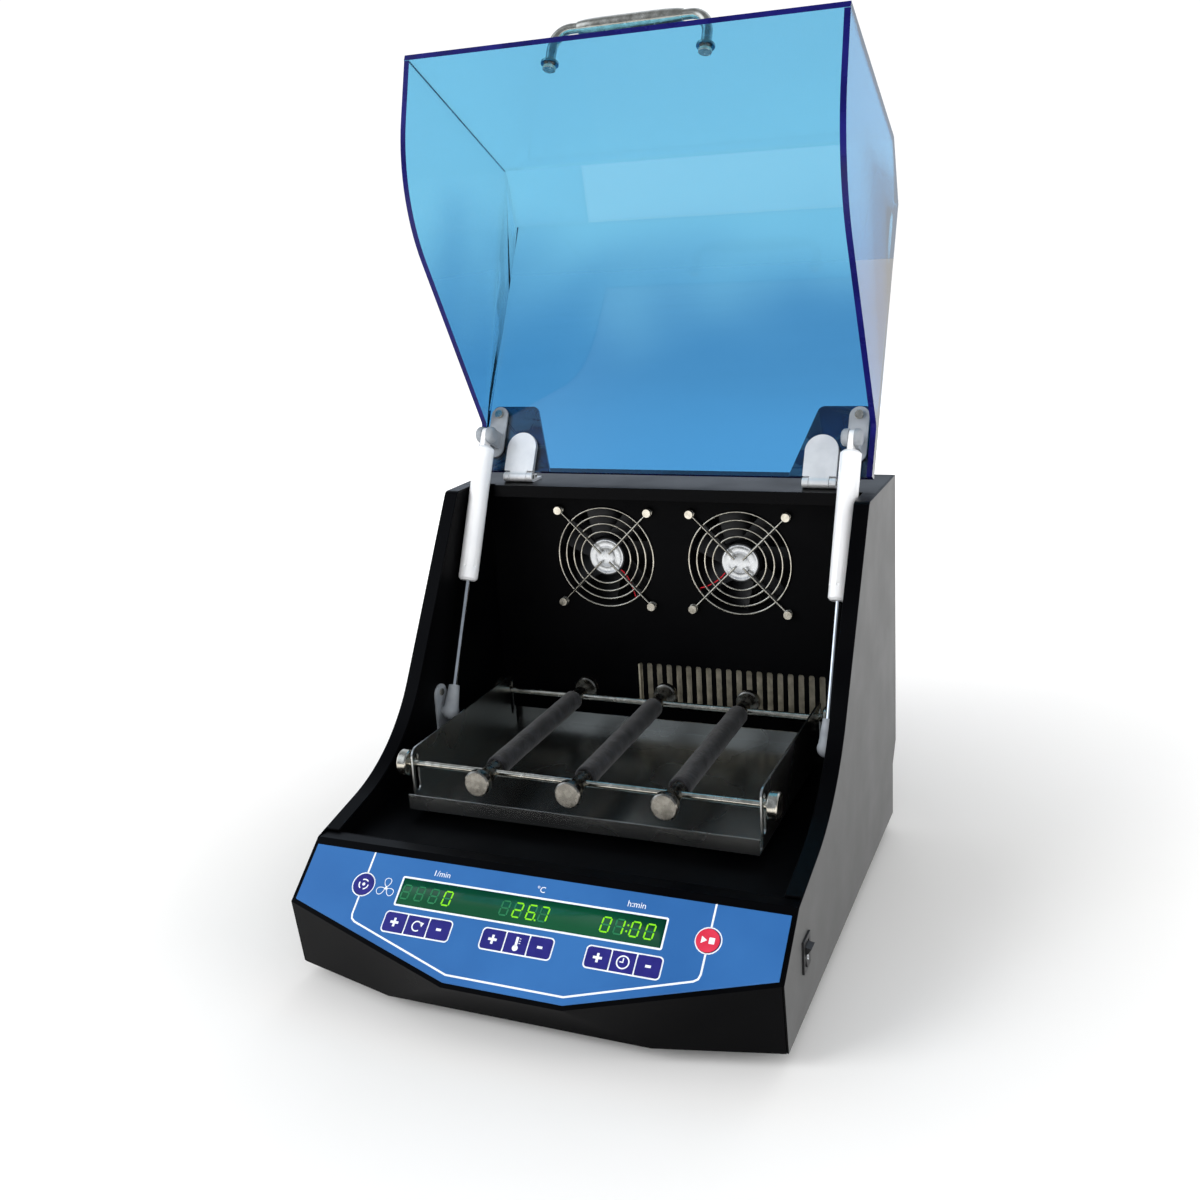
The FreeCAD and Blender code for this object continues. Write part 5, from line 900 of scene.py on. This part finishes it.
def key_sign(name, x, down):
    """White signs: plus, minus, a fan wheel, and start with stop."""
    mesh = bmesh.new()
    if name == "key_fan":
        shapes = [arc((x, down), 1.2, end=330, steps=11)]
        for turn in range(3):
            shapes += ribbon(arc((x, down), 3.6, turn * 120, turn * 120 + 80, 6), SIGN_MM)
    elif name == "key_start_stop":
        shapes = [[(x - 4.2, down - 2.4), (x - 4.2, down + 2.4), (x - 0.4, down)],
                  rounded((x + 2.7, down), 3.8, 4.2, 0.3, 1)]
    elif name.endswith("_up"):
        shapes = ribbon([(x - PLUS_REACH, down), (x + PLUS_REACH, down)], STROKE_MM)
        for side in (-1, 1):
            arm = sorted((down + side * PLUS_REACH, down + side * STROKE_MM / 2))
            shapes += ribbon([(x, at) for at in arm], STROKE_MM)
    else:
        shapes = ribbon([(x - MINUS_REACH, down), (x + MINUS_REACH, down)], STROKE_MM)
    for shape in shapes:
        prism(mesh, shape, CAP_OUT - INK_MM, CAP_OUT + INK_MM)
    new_piece(name + "_sign", mesh, [INK_WHITE], body_of(name))


for name, (x, down) in KEYS.items():
    dress(name, [KEY_RED if name == "key_start_stop" else KEY_NAVY], 0.2)
    key_sign(name, x, down)
print("keys", len(KEYS))

# %% [markdown]
# ## Growing what repeats
#
# Rings, spokes, blades and screw recesses repeat by a rule, and a bent rod follows a path, so
# Geometry Nodes grow them. A tree is built once in the script, with its sizes as named inputs. The
# modifier's values are set by each socket's identifier, the result is copied to a plain mesh, and
# the carrier is removed.

# %% Helpers for node trees
SOCKETS = {int: "NodeSocketInt", float: "NodeSocketFloat", Vector: "NodeSocketVector"}


def new_tree(name, sizes):
    """A geometry tree with an input for each size, and the outputs of its input node."""
    tree = bpy.data.node_groups.new(name, "GeometryNodeTree")
    for way in ("INPUT", "OUTPUT"):
        tree.interface.new_socket("Geometry", in_out=way, socket_type="NodeSocketGeometry")
    for label, value in sizes.items():
        tree.interface.new_socket(label, in_out="INPUT", socket_type=SOCKETS[type(value)])
    return tree, add(tree, "GroupInput").outputs


def finish_tree(tree, last, material):
    """End a tree as the export needs it: real geometry with a material."""
    joined = add(tree, "JoinGeometry", {0: last})
    real = add(tree, "RealizeInstances", {0: joined})
    dressed = add(tree, "SetMaterial", {"Material": material, 0: real})
    add(tree, "GroupOutput", {0: dressed})


def grown(name, tree, sizes, seed=None):
    """Run a tree once on a seed mesh and keep the result as a plain mesh."""
    carrier = bpy.data.objects.new(name, seed or bpy.data.meshes.new(name))
    put_in_scene(carrier)
    modifier = carrier.modifiers.new("grow", "NODES")
    modifier.node_group = tree
    for item in tree.interface.items_tree:
        if item.in_out == "INPUT" and item.name in sizes:
            modifier[item.identifier] = sizes[item.name]
    result = settled(carrier)
    print(name, "grew", len(result.polygons), "faces")
    return result


print("kinds of inputs", len(SOCKETS))

# %% [markdown]
# ## The handle
#
# The pull is one rod bent twice round a former, with a barrel grip pressed over its middle. A
# polyline with filleted corners is swept with the rod's section, and a straight line with a
# thicker one, whose ends are tapered. It is grown on the closed lid and then turned with it.

# %% Grow the handle
LID_FRONT = mm(0, -159.0, 125.5)
HALF_WIDTH, REACH, GRIP_HALF, FOOT_MM = 62, 26, 42, 2
sizes = {
    "Foot Left": mm(-HALF_WIDTH, 0, 0), "Corner Left": mm(-HALF_WIDTH, -REACH, 0),
    "Foot Right": mm(HALF_WIDTH, 0, 0), "Corner Right": mm(HALF_WIDTH, -REACH, 0),
    "Grip Left": mm(-GRIP_HALF, -REACH, 0), "Grip Right": mm(GRIP_HALF, -REACH, 0),
    "Bend": 14 * MM, "Rod": 4 * MM, "Grip": 6 * MM, "Foot": 7 * MM,
    "Foot Thick": FOOT_MM * MM, "Foot Out": mm(0, -FOOT_MM / 2, 0)}
tree, given = new_tree("bent_pull", sizes)
outline = add(tree, "CurvePrimitiveQuadrilateral", {
    "mode": "POINTS", "Point 1": given["Foot Left"], "Point 2": given["Corner Left"],
    "Point 3": given["Corner Right"], "Point 4": given["Foot Right"]})
opened = add(tree, "SetSplineCyclic", {"Cyclic": False, 0: outline})
bent = add(tree, "FilletCurve",
           {"mode": "POLY", "Count": 10, "Limit Radius": True, 0: opened, "Radius": given["Bend"]})
section = add(tree, "CurvePrimitiveCircle", {"Resolution": 24, "Radius": given["Rod"]})
rod = add(tree, "CurveToMesh", {"Fill Caps": True, 0: bent, "Profile Curve": section})
grip_line = add(tree, "CurvePrimitiveLine",
                {"Start": given["Grip Left"], "End": given["Grip Right"]})
grip_rings = add(tree, "ResampleCurve", {"Count": 25, 0: grip_line})
along = add(tree, "SplineParameter").outputs["Factor"]
from_middle = add(tree, "Math", {"operation": "MULTIPLY_ADD", 1: 2.0, 2: -1.0, 0: along})
to_end = add(tree, "Math", {"operation": "POWER", 1: 6.0, 0: from_middle})
taper = add(tree, "Math", {"operation": "MULTIPLY_ADD", 1: -0.22, 2: 1.0, 0: to_end})
barrel_r = add(tree, "Math", {"operation": "MULTIPLY", 0: taper, 1: given["Grip"]})
unit_section = add(tree, "CurvePrimitiveCircle", {"Resolution": 28, "Radius": 1.0})
barrel = add(tree, "CurveToMesh",
             {"Fill Caps": True, 0: grip_rings, "Profile Curve": unit_section, "Scale": barrel_r})
disc = add(tree, "MeshCylinder",
           {"Vertices": 40, "Radius": given["Foot"], "Depth": given["Foot Thick"]})
parts = [rod, barrel]
for foot in (given["Foot Left"], given["Foot Right"]):
    foot_at = add(tree, "VectorMath", {"operation": "ADD", 0: foot, 1: given["Foot Out"]})
    parts.append(add(tree, "Transform", {
        "Rotation": (QUARTER, 0, 0), 0: disc, "Translation": foot_at}))
finish_tree(tree, parts, NICKEL)

pull_mesh = grown("lid_pull", tree, sizes)
hinge = Matrix.Translation(HINGE_AT * MM)
pull_mesh.transform(hinge @ CLOSE.transposed().to_4x4() @ hinge.inverted()
                    @ Matrix.Translation(LID_FRONT))
pull_piece = place_mesh("lid_pull", pull_mesh, "lid")
round_edges(pull_piece, 0.3)
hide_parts("lid_handle")

# %% [markdown]
# ## The strut tubes
#
# A gas strut's seal is held by a crimp: a ring of small dimples pressed into the tube near its
# lower end. A ring of balls is grown on a circle, laid across the strut's axis, and taken away
# from the lacquered tube by a boolean.

# %% Crimp the tubes
STRUT_X, TUBE_R, CRIMP_AT = 158.5, 8.3, 116.0
sizes = {"Dimples": 6, "Ring": (TUBE_R + 0.9) * MM, "Ball": 1.6 * MM}
tree, given = new_tree("crimp_ring", sizes)
ring = add(tree, "MeshCircle", {"Vertices": given["Dimples"], "Radius": given["Ring"]})
ball = add(tree, "MeshIcoSphere", {"Subdivisions": 3, "Radius": given["Ball"]})
balls = add(tree, "InstanceOnPoints", {"Points": ring, "Instance": ball})
finish_tree(tree, balls, LACQUER)
for side, x in (("left", -STRUT_X), ("right", STRUT_X)):
    ring = grown("crimp_" + side, tree, sizes)
    middle = STRUT_TOP + STRUT_WAY * CRIMP_AT + Vector((x, 0, 0))
    ring.transform(Matrix.Translation(middle * MM)
                   @ STRUT_WAY.to_track_quat("Z", "X").to_matrix().to_4x4())
    cutters = bmesh.new()
    cutters.from_mesh(ring)
    tube = "strut_tube_" + side
    dress(tube, [LACQUER], 0.5, mesh=combined(clean_copy(tube), cutters, "DIFFERENCE"))

# %% [markdown]
# ## Wire guards
#
# A guard is drawn wire, bent and spot-welded: four rings lie behind four spokes, and each spoke
# ends in an eye of two turns that its screw goes through. Every wire starts as a curve, and one
# Curve to Mesh gives them all the same round section. Scaling the instanced rings before that
# step keeps the wire equally thick on every ring.

# %% Grow the guards
WALL_Y, FAN_X, FAN_Z = 130.0, 60.0, 237.0
WIRE_R, EYE_R, SCREW_REACH = 0.9, 3.3, 58.34
sizes = {
    "Rings": 4, "Ring Radius": 44 * MM, "Ring Gap": 7 * MM, "Ring At": mm(0, 2 * WIRE_R, 0),
    "Spokes": 4, "Spoke Start": mm(5, 0, 0), "Spoke End": mm(SCREW_REACH - EYE_R, 0, 0),
    "Eye Radius": EYE_R * MM, "First Turn": mm(SCREW_REACH, 0, 0),
    "Next Turn": mm(SCREW_REACH, 2 * WIRE_R, 0), "Wire": WIRE_R * MM}
tree, given = new_tree("wire_guard", sizes)
number = add(tree, "InputIndex")
step = add(tree, "Math", {"operation": "MULTIPLY", 0: number, 1: given["Ring Gap"]})
ring_size = add(tree, "Math", {"operation": "SUBTRACT", 0: given["Ring Radius"], 1: step})
ring_points = add(tree, "Points", {"Count": given["Rings"]})
unit_ring = add(tree, "CurvePrimitiveCircle", {"Resolution": 72, "Radius": 1.0})
rings = add(tree, "InstanceOnPoints",
            {"Points": ring_points, "Instance": unit_ring, "Scale": ring_size})
upright = add(tree, "Transform",
              {"Rotation": (QUARTER, 0, 0), 0: rings, "Translation": given["Ring At"]})
spoke = add(tree, "CurvePrimitiveLine", {"Start": given["Spoke Start"], "End": given["Spoke End"]})
eye = add(tree, "CurvePrimitiveCircle", {"Resolution": 20, "Radius": given["Eye Radius"]})
turns = [add(tree, "Transform", {"Rotation": (QUARTER, 0, 0), 0: eye, "Translation": given[turn]})
         for turn in ("First Turn", "Next Turn")]
arm = add(tree, "JoinGeometry", {0: [spoke, *turns]})
arm_points = add(tree, "Points", {"Count": given["Spokes"]})
arm_turn = add(tree, "Math", {"operation": "MULTIPLY_ADD", 1: QUARTER, 2: QUARTER / 2, 0: number})
arm_way = add(tree, "CombineXYZ", {"Y": arm_turn})
arms = add(tree, "InstanceOnPoints", {"Points": arm_points, "Instance": arm, "Rotation": arm_way})
wires = add(tree, "JoinGeometry", {0: [upright, arms]})
real = add(tree, "RealizeInstances", {0: wires})
section = add(tree, "CurvePrimitiveCircle", {"Resolution": 10, "Radius": given["Wire"]})
guard = add(tree, "CurveToMesh", {"Fill Caps": True, 0: real, "Profile Curve": section})
fans = add(tree, "MeshToPoints", {0: given["Geometry"]})
pair = add(tree, "InstanceOnPoints", {"Points": fans, "Instance": guard})
finish_tree(tree, pair, NICKEL)

fan_middles = bpy.data.meshes.new("fan_middles")
fan_middles.from_pydata([mm(-FAN_X, 0, 0), mm(FAN_X, 0, 0)], [], [])
guards = grown("wire_guards", tree, sizes, fan_middles)
guards.transform(Matrix.Translation(mm(0, WALL_Y - 3 * WIRE_R, FAN_Z)))
guards.shade_smooth()
guard_piece = place_mesh("wire_guards", guards, "case")
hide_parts("fan_guards")

# %% [markdown]
# ## Fan rotors
#
# A rotor is one moulding: a hub with seven cambered blades. A box with many slices becomes a blade
# when each slice is pushed along the axis by a parabola across the chord. It is pitched, moved out
# to the hub, and instanced round the axis.

# %% Grow the rotors
HUB_R, TIP_R, ROTOR_Y = 16.5, 42.0, 146.5
BLADE_THICK, BLADE_CHORD, BLADE_BULGE = 1.2, 26.0, 1.8
sizes = {
    "Blades": 7, "Hub Radius": HUB_R * MM, "Hub Length": 17 * MM, "Pitch": math.radians(27),
    "Blade Size": mm(TIP_R - HUB_R, BLADE_THICK, BLADE_CHORD),
    "Blade At": mm((TIP_R + HUB_R) * 0.495, 0, 0), "Camber": 4 * BLADE_BULGE * MM}
tree, given = new_tree("fan_rotor", sizes)
blade_box = add(tree, "MeshCube",
                {"Vertices X": 6, "Vertices Y": 2, "Vertices Z": 11, "Size": given["Blade Size"]})
where = add(tree, "SeparateXYZ", {0: add(tree, "InputPosition")})
whole = add(tree, "SeparateXYZ", {0: given["Blade Size"]})
across = add(tree, "Math", {"operation": "DIVIDE", 0: where.outputs["Z"], 1: whole.outputs["Z"]})
squared = add(tree, "Math", {"operation": "MULTIPLY", 0: across, 1: across})
bulge = add(tree, "Math", {"operation": "MULTIPLY", 0: squared, 1: given["Camber"]})
push = add(tree, "CombineXYZ", {"Y": bulge})
curved = add(tree, "SetPosition", {0: blade_box, "Offset": push})
pitch = add(tree, "CombineXYZ", {"X": given["Pitch"]})
blade = add(tree, "Transform", {0: curved, "Rotation": pitch, "Translation": given["Blade At"]})
blade_points = add(tree, "Points", {"Count": given["Blades"]})
full_turn = add(tree, "Math", {"operation": "DIVIDE", 0: 4 * QUARTER, 1: given["Blades"]})
blade_turn = add(tree, "Math", {"operation": "MULTIPLY", 0: add(tree, "InputIndex"), 1: full_turn})
blade_way = add(tree, "CombineXYZ", {"Y": blade_turn})
wheel = add(tree, "InstanceOnPoints",
            {"Points": blade_points, "Instance": blade, "Rotation": blade_way})
hub = add(tree, "MeshCylinder",
          {"Vertices": 64, "Radius": given["Hub Radius"], "Depth": given["Hub Length"]})
hub_way = add(tree, "Transform", {"Rotation": (QUARTER, 0, 0), 0: hub})
finish_tree(tree, [hub_way, wheel], BLACK_ABS)

for side, x in (("left", -FAN_X), ("right", FAN_X)):
    data = grown("rotor_" + side, tree, sizes)
    data.transform(Matrix.Translation(mm(x, ROTOR_Y, FAN_Z)))
    node = "fan_impeller_" + side
    piece = place_mesh("rotor_" + side, data, body_of(node))
    round_edges(piece, 0.3)
    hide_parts(node)

# %% [markdown]
# ## The painted shade behind the intake
#
# A pleated black sheet, drawn as a dust filter, lies behind the intake slots of the back as
# painted shade: it keeps daylight from showing through the fans. Its zigzag repeats, so a flat
# grid is grown, every other column of points is pushed out, and the sheet is given its thickness.

# %% Grow the pleated sheet of painted shade
# A black sheet put behind the fans as painted shade
SHADE_SHEET_Y = 170.5
sizes = {"Width": 222 * MM, "Height": 100 * MM, "Folds": 61, "Fold": mm(0, 0, 2.6),
         "Sheet": 0.7 * MM}
tree, given = new_tree("pleated_shade_sheet", sizes)
sheet = add(tree, "MeshGrid", {"Vertices X": given["Folds"], "Vertices Y": 2,
                               "Size X": given["Width"], "Size Y": given["Height"]})
in_pair = add(tree, "Math", {"operation": "MODULO", 1: 4.0, 0: add(tree, "InputIndex")})
odd = add(tree, "Math", {"operation": "GREATER_THAN", 1: 1.5, 0: in_pair})
folded = add(tree, "SetPosition", {0: sheet, "Selection": odd, "Offset": given["Fold"]})
back = add(tree, "ExtrudeMesh",
           {"mode": "FACES", "Individual": False, 0: folded, "Offset Scale": given["Sheet"]})
front = add(tree, "FlipFaces", {0: folded})
closed = add(tree, "JoinGeometry", {0: [back, front]})
welded = add(tree, "MergeByDistance", {"Distance": 0.00001, 0: closed})
finish_tree(tree, welded, FOAM)
data = grown("shade_sheet_behind_intake", tree, sizes)
data.transform(Matrix.Translation(mm(0, SHADE_SHEET_Y, FAN_Z)) @ Matrix.Rotation(QUARTER, 4, "X"))
place_mesh("shade_sheet_behind_intake", data, "case")

# %% [markdown]
# ## Hub labels and fan leads
#
# Each fan's motor hub carries a bare foil label with a raised rim, turned in mesh code. A red lead
# runs from the hub to the frame: a Bezier curve swept with a round section, bent so that it lies
# in front of the housing's strut.

# %% Turn the labels and grow the leads
HUB_FACE_Y, LEAD_OFF, LEAD_BACK = 131.0, 0.55, 1.2
# How far the label stands out from the hub, and at which radius
LABEL = ((-0.05, 15.4), (0.3, 15.4), (0.45, 15.0), (0.45, 14.1), (0.25, 13.7), (0.25, 9.2),
         (0.33, 9.0), (0.33, 8.4), (0.25, 8.2), (0.25, 0.4))
# Across from the machine's middle, and up from the fan's
LEADS = {"left": ((-47, -11), (-39, -16), (-37, -28), (-34.5, -36)),
         "right": ((47, -9), (42, -16), (34, -21), (24, -24))}


def lead_sizes(side):
    """The four points of a lead, whose end lies behind the others, and its radius."""
    points = [mm(x, HUB_FACE_Y - LEAD_OFF, FAN_Z + z) for x, z in LEADS[side]]
    points[3].y += LEAD_BACK * MM
    return dict(zip(("Start", "Way Out", "Way In", "End"), points), Radius=0.5 * MM)


tree, given = new_tree("fan_lead", lead_sizes("left"))
path = add(tree, "CurvePrimitiveBezierSegment", {
    "Resolution": 24, "Start": given["Start"], "Start Handle": given["Way Out"],
    "End Handle": given["Way In"], "End": given["End"]})
section = add(tree, "CurvePrimitiveCircle", {"Resolution": 8, "Radius": given["Radius"]})
lead = add(tree, "CurveToMesh", {"Fill Caps": True, 0: path, "Profile Curve": section})
finish_tree(tree, lead, RED_PVC)
for side, x in (("left", -FAN_X), ("right", FAN_X)):
    profile = [(HUB_FACE_Y - rise, radius) for rise, radius in LABEL]
    label = turned(profile, (x, FAN_Z), 64, closed=False)
    round_edges(new_piece("hub_label_" + side, label, [FOIL], "case"), 0)
    data = grown("lead_" + side, tree, lead_sizes(side))
    data.shade_smooth()
    place_mesh("lead_" + side, data, "case")

# %% [markdown]
# ## Screw recesses
#
# A pan-head screw is known by its cross. The CAD screws are plain, so a cutter is instanced on
# each head and a boolean takes it away. The heads are found, not listed: on a merged copy, a
# head's top is the one flat, many-sided face of a screw that is as wide as a head.

# %% Cut the crosses
HEAD_SIZES = (2.8, 5.2)
# In units of the head's radius
CROSS = {"Long": Vector((1.15, 0.26, 0.7)), "Across": Vector((0.26, 1.15, 0.7))}
cross_tree, given = new_tree("cross_recess", CROSS)
cross_points = add(cross_tree, "MeshToPoints", {0: given["Geometry"]})
bars = [add(cross_tree, "MeshCube", {"Size": given[label]}) for label in CROSS]
cross = add(cross_tree, "JoinGeometry", {0: bars})
way = add(cross_tree, "InputNamedAttribute", {"data_type": "FLOAT_VECTOR", "Name": "way"})
size = add(cross_tree, "InputNamedAttribute", {"data_type": "FLOAT", "Name": "size"})
facing = add(cross_tree, "AlignRotationToVector", {"axis": "Z", "Vector": way})
crosses = add(cross_tree, "InstanceOnPoints",
              {"Points": cross_points, "Instance": cross, "Rotation": facing, "Scale": size})
finish_tree(cross_tree, crosses, STEEL)


def head_tops(mesh):
    """The middle, direction and radius of each screw head's top, in metres."""
    tops = []
    for face in mesh.faces:
        middle = face.calc_center_median()
        radius = max((v.co - middle).length for v in face.verts)
        nearest = min((v.co - middle).length for v in face.verts)
        flat_disc = len(face.verts) > 10 and nearest > radius * 0.9
        if flat_disc and HEAD_SIZES[0] * MM < radius < HEAD_SIZES[1] * MM:
            tops.append((middle, face.normal.copy(), radius))
    return tops


def crossed(node):
    """The screws of a node with a cross cut in every head."""
    mesh = clean_copy(node)
    tops = head_tops(mesh)
    seed = bpy.data.meshes.new("heads")
    seed.from_pydata([top[0] for top in tops], [], [])
    ways = seed.attributes.new("way", "FLOAT_VECTOR", "POINT")
    sizes = seed.attributes.new("size", "FLOAT", "POINT")
    for index, (middle, normal, radius) in enumerate(tops):
        ways.data[index].vector = normal
        sizes.data[index].value = radius
    cutters = bmesh.new()
    cutters.from_mesh(grown(node + "_crosses", cross_tree, CROSS, seed))
    print(node, "heads", len(tops))
    return combined(mesh, cutters, "DIFFERENCE")


for node in ("case_screws", "lid_screws"):
    dress(node, [NICKEL], 0.15, mesh=crossed(node))

# %% [markdown]
# ## Inlet and rocker
#
# The mains inlet is moulded black, and only its three pins are metal: a rule finds them by their
# place in the mouth. The rocker has the two marks that say on and off anywhere in the world, a
# line and a ring, moulded a hair proud of its two faces.

# %% Dress the inlet and mark the rocker
PIN_BOX = ((86.5, 148.2, 38.8), (103.5, 160.1, 46.2))


def inlet_rule(middle, normal):
    inside = all(low < at < high for low, at, high in zip(PIN_BOX[0], middle, PIN_BOX[1]))
    return 1 if inside else 0


dress("power_inlet", [BLACK_ABS, STEEL], 0.2, inlet_rule)
ROCKER_AT = Vector((181.6, -148.0, 57.0))
MARK_MM, MARK_FROM_MIDDLE = 0.03, 3.0


def rocker_mark(name, shapes, up):
    """Lay flat outlines on the upper or lower face of the rocker."""
    mesh = bmesh.new()
    for shape in shapes:
        prism(mesh, shape, -MARK_MM, MARK_MM)
    mesh.transform(ON_PANEL.inverted())
    face = max((f for f in frame["nodes"]["switch_rocker"].data.polygons
                if f.normal.x > 0.7 and (f.center.z / MM - ROCKER_AT.z) * up > 0),
               key=lambda f: f.area)
    out = face.normal.copy()
    across = Vector((0, 1, 0))
    rise = out.cross(across)
    middle = (ROCKER_AT + Vector((0, 0, up * MARK_FROM_MIDDLE))) * MM
    middle.x = face.center.x - (middle.z - face.center.z) * out.z / out.x
    laid = Matrix((across, rise, out)).transposed().to_4x4()
    mesh.transform(Matrix.Translation(middle) @ laid)
    return new_piece(name, mesh, [INK_WHITE], body_of("switch_rocker"))


marks = [rocker_mark("rocker_on", ribbon([(0, -1.5), (0, 1.5)], 0.6), 1),
         rocker_mark("rocker_off", ribbon(arc((0, 0), 1.4), 0.5, closed=True), -1)]
print("rocker marks reach", [round(max(v.co.x for v in m.data.vertices) / MM, 3) for m in marks])

# %% [markdown]
# ## Light and floor
#
# A product shot: a pale floor that runs to a white surround, one large soft light from the upper
# left for shape, weaker ones beside the camera and on the right wall, and one behind the clear
# lid. The surround has three strengths. Seen straight or through the lid it is pure white. As
# light it is dimmer, so that the machine keeps its shadow. And what black paint and plated metal
# mirror is a dark, bluish studio with one softbox at the front left and the pale sweep behind.
# Further out the sweep has its own lamps, drawn as a glow that starts beyond the shadow.

# %% Floor, lights and surround
FLOOR_REACH = 12.0
GLOW_FROM, GLOW_TO, GLOW = 0.28, 0.95, 0.5
AIM = Vector((0, 0, 0.3))
SOFTBOX_WAY = Vector((-0.85, -0.4, 0.45)).normalized()


def stage_floor():
    """A sheet that glows more and more away from the machine."""
    corners = [Vector((x, y, 0)) * FLOOR_REACH for x, y in ((-1, -1), (1, -1), (1, 1), (-1, 1))]
    data = bpy.data.meshes.new("floor")
    data.from_pydata(corners, [], [(0, 1, 2, 3)])
    material = surface("matt_white_sweep", ("#f4f4f3", "#f8f8f8"), (0.8, 0.9), 400, 2, 0.01,
                       {"Specular IOR Level": 0.1, "Emission Color": colour("#ffffff")})
    tree = material.node_tree
    place = tree.nodes["Texture Coordinate"].outputs["Object"]
    away = add(tree, "VectorMath", {"operation": "LENGTH", 0: place})
    glow = add(tree, "MapRange", {"From Min": GLOW_FROM, "From Max": GLOW_TO, "To Max": GLOW,
                                  "Value": away.outputs["Value"]})
    tree.links.new(glow.outputs[0], tree.nodes["Principled BSDF"].inputs["Emission Strength"])
    data.materials.append(material)
    floor = bpy.data.objects.new("floor", data)
    put_in_scene(floor)


def soft_light(name, at, size, watts, aim=AIM):
    """An area light that only lights: neither the camera nor a mirror sees it."""
    light = bpy.data.lights.new(name, "AREA")
    light.shape = "RECTANGLE"
    light.size, light.size_y = size
    light.energy = watts
    lamp = bpy.data.objects.new(name, light)
    lamp.location = at
    lamp.rotation_euler = (aim - Vector(at)).to_track_quat("-Z", "Y").to_euler()
    lamp.visible_camera = lamp.visible_glossy = lamp.visible_transmission = False
    put_in_scene(lamp)


stage_floor()
soft_light("key_light", (-1.7, -1.8, 1.5), (1.4, 1.4), 40)
soft_light("fill_light", (1.1, -2.2, 1.3), (1.8, 1.2), 14)
soft_light("side_light", (2.4, -0.3, 0.9), (1.6, 1.4), 14)
soft_light("back_light", (0.2, 2.2, 1.8), (2.2, 1.4), 12, Vector((0, 0, 0.5)))
world = bpy.data.worlds.new("surround")
world.use_nodes = True
sky = world.node_tree
sky.nodes.clear()
way = add(sky, "TexCoord").outputs["Generated"]
axes = add(sky, "SeparateXYZ", {0: way})
behind = add(sky, "MapRange", {"From Min": 0.1, "From Max": 0.7, "To Min": 0.34, "To Max": 1.1,
                               "Value": axes.outputs["Y"]})
to_box = add(sky, "VectorMath", {"operation": "DOT_PRODUCT", 0: way, 1: SOFTBOX_WAY})
softbox = add(sky, "MapRange", {"interpolation_type": "SMOOTHSTEP", "From Min": 0.8,
                                "From Max": 0.99, "To Max": 1.7, "Value": to_box.outputs["Value"]})
studio = add(sky, "Math", {"operation": "ADD", 0: behind, 1: softbox})
rays = add(sky, "LightPath")
seen = add(sky, "Math", {"operation": "MAXIMUM", 0: rays.outputs["Is Camera Ray"],
                         1: rays.outputs["Is Transmission Ray"]})
mirror = add(sky, "Math", {
    "operation": "SUBTRACT", "use_clamp": True, 0: rays.outputs["Is Glossy Ray"],
    1: rays.outputs["Is Transmission Ray"]})
as_light, as_seen, as_mirrored = [
    add(sky, "Background", {"Color": colour(tone), "Strength": strength})
    for tone, strength in (("#ffffff", 0.62), ("#ffffff", 1.06), ("#dce8f8", studio))]
plain = add(sky, "MixShader", {0: seen, 1: as_light, 2: as_seen})
surround = add(sky, "MixShader", {0: mirror, 1: plain, 2: as_mirrored})
add(sky, "OutputWorld", {"Surface": surround})
bpy.context.scene.world = world
bpy.context.scene.view_settings.view_transform = "Standard"
print("lights", len(bpy.data.lights))
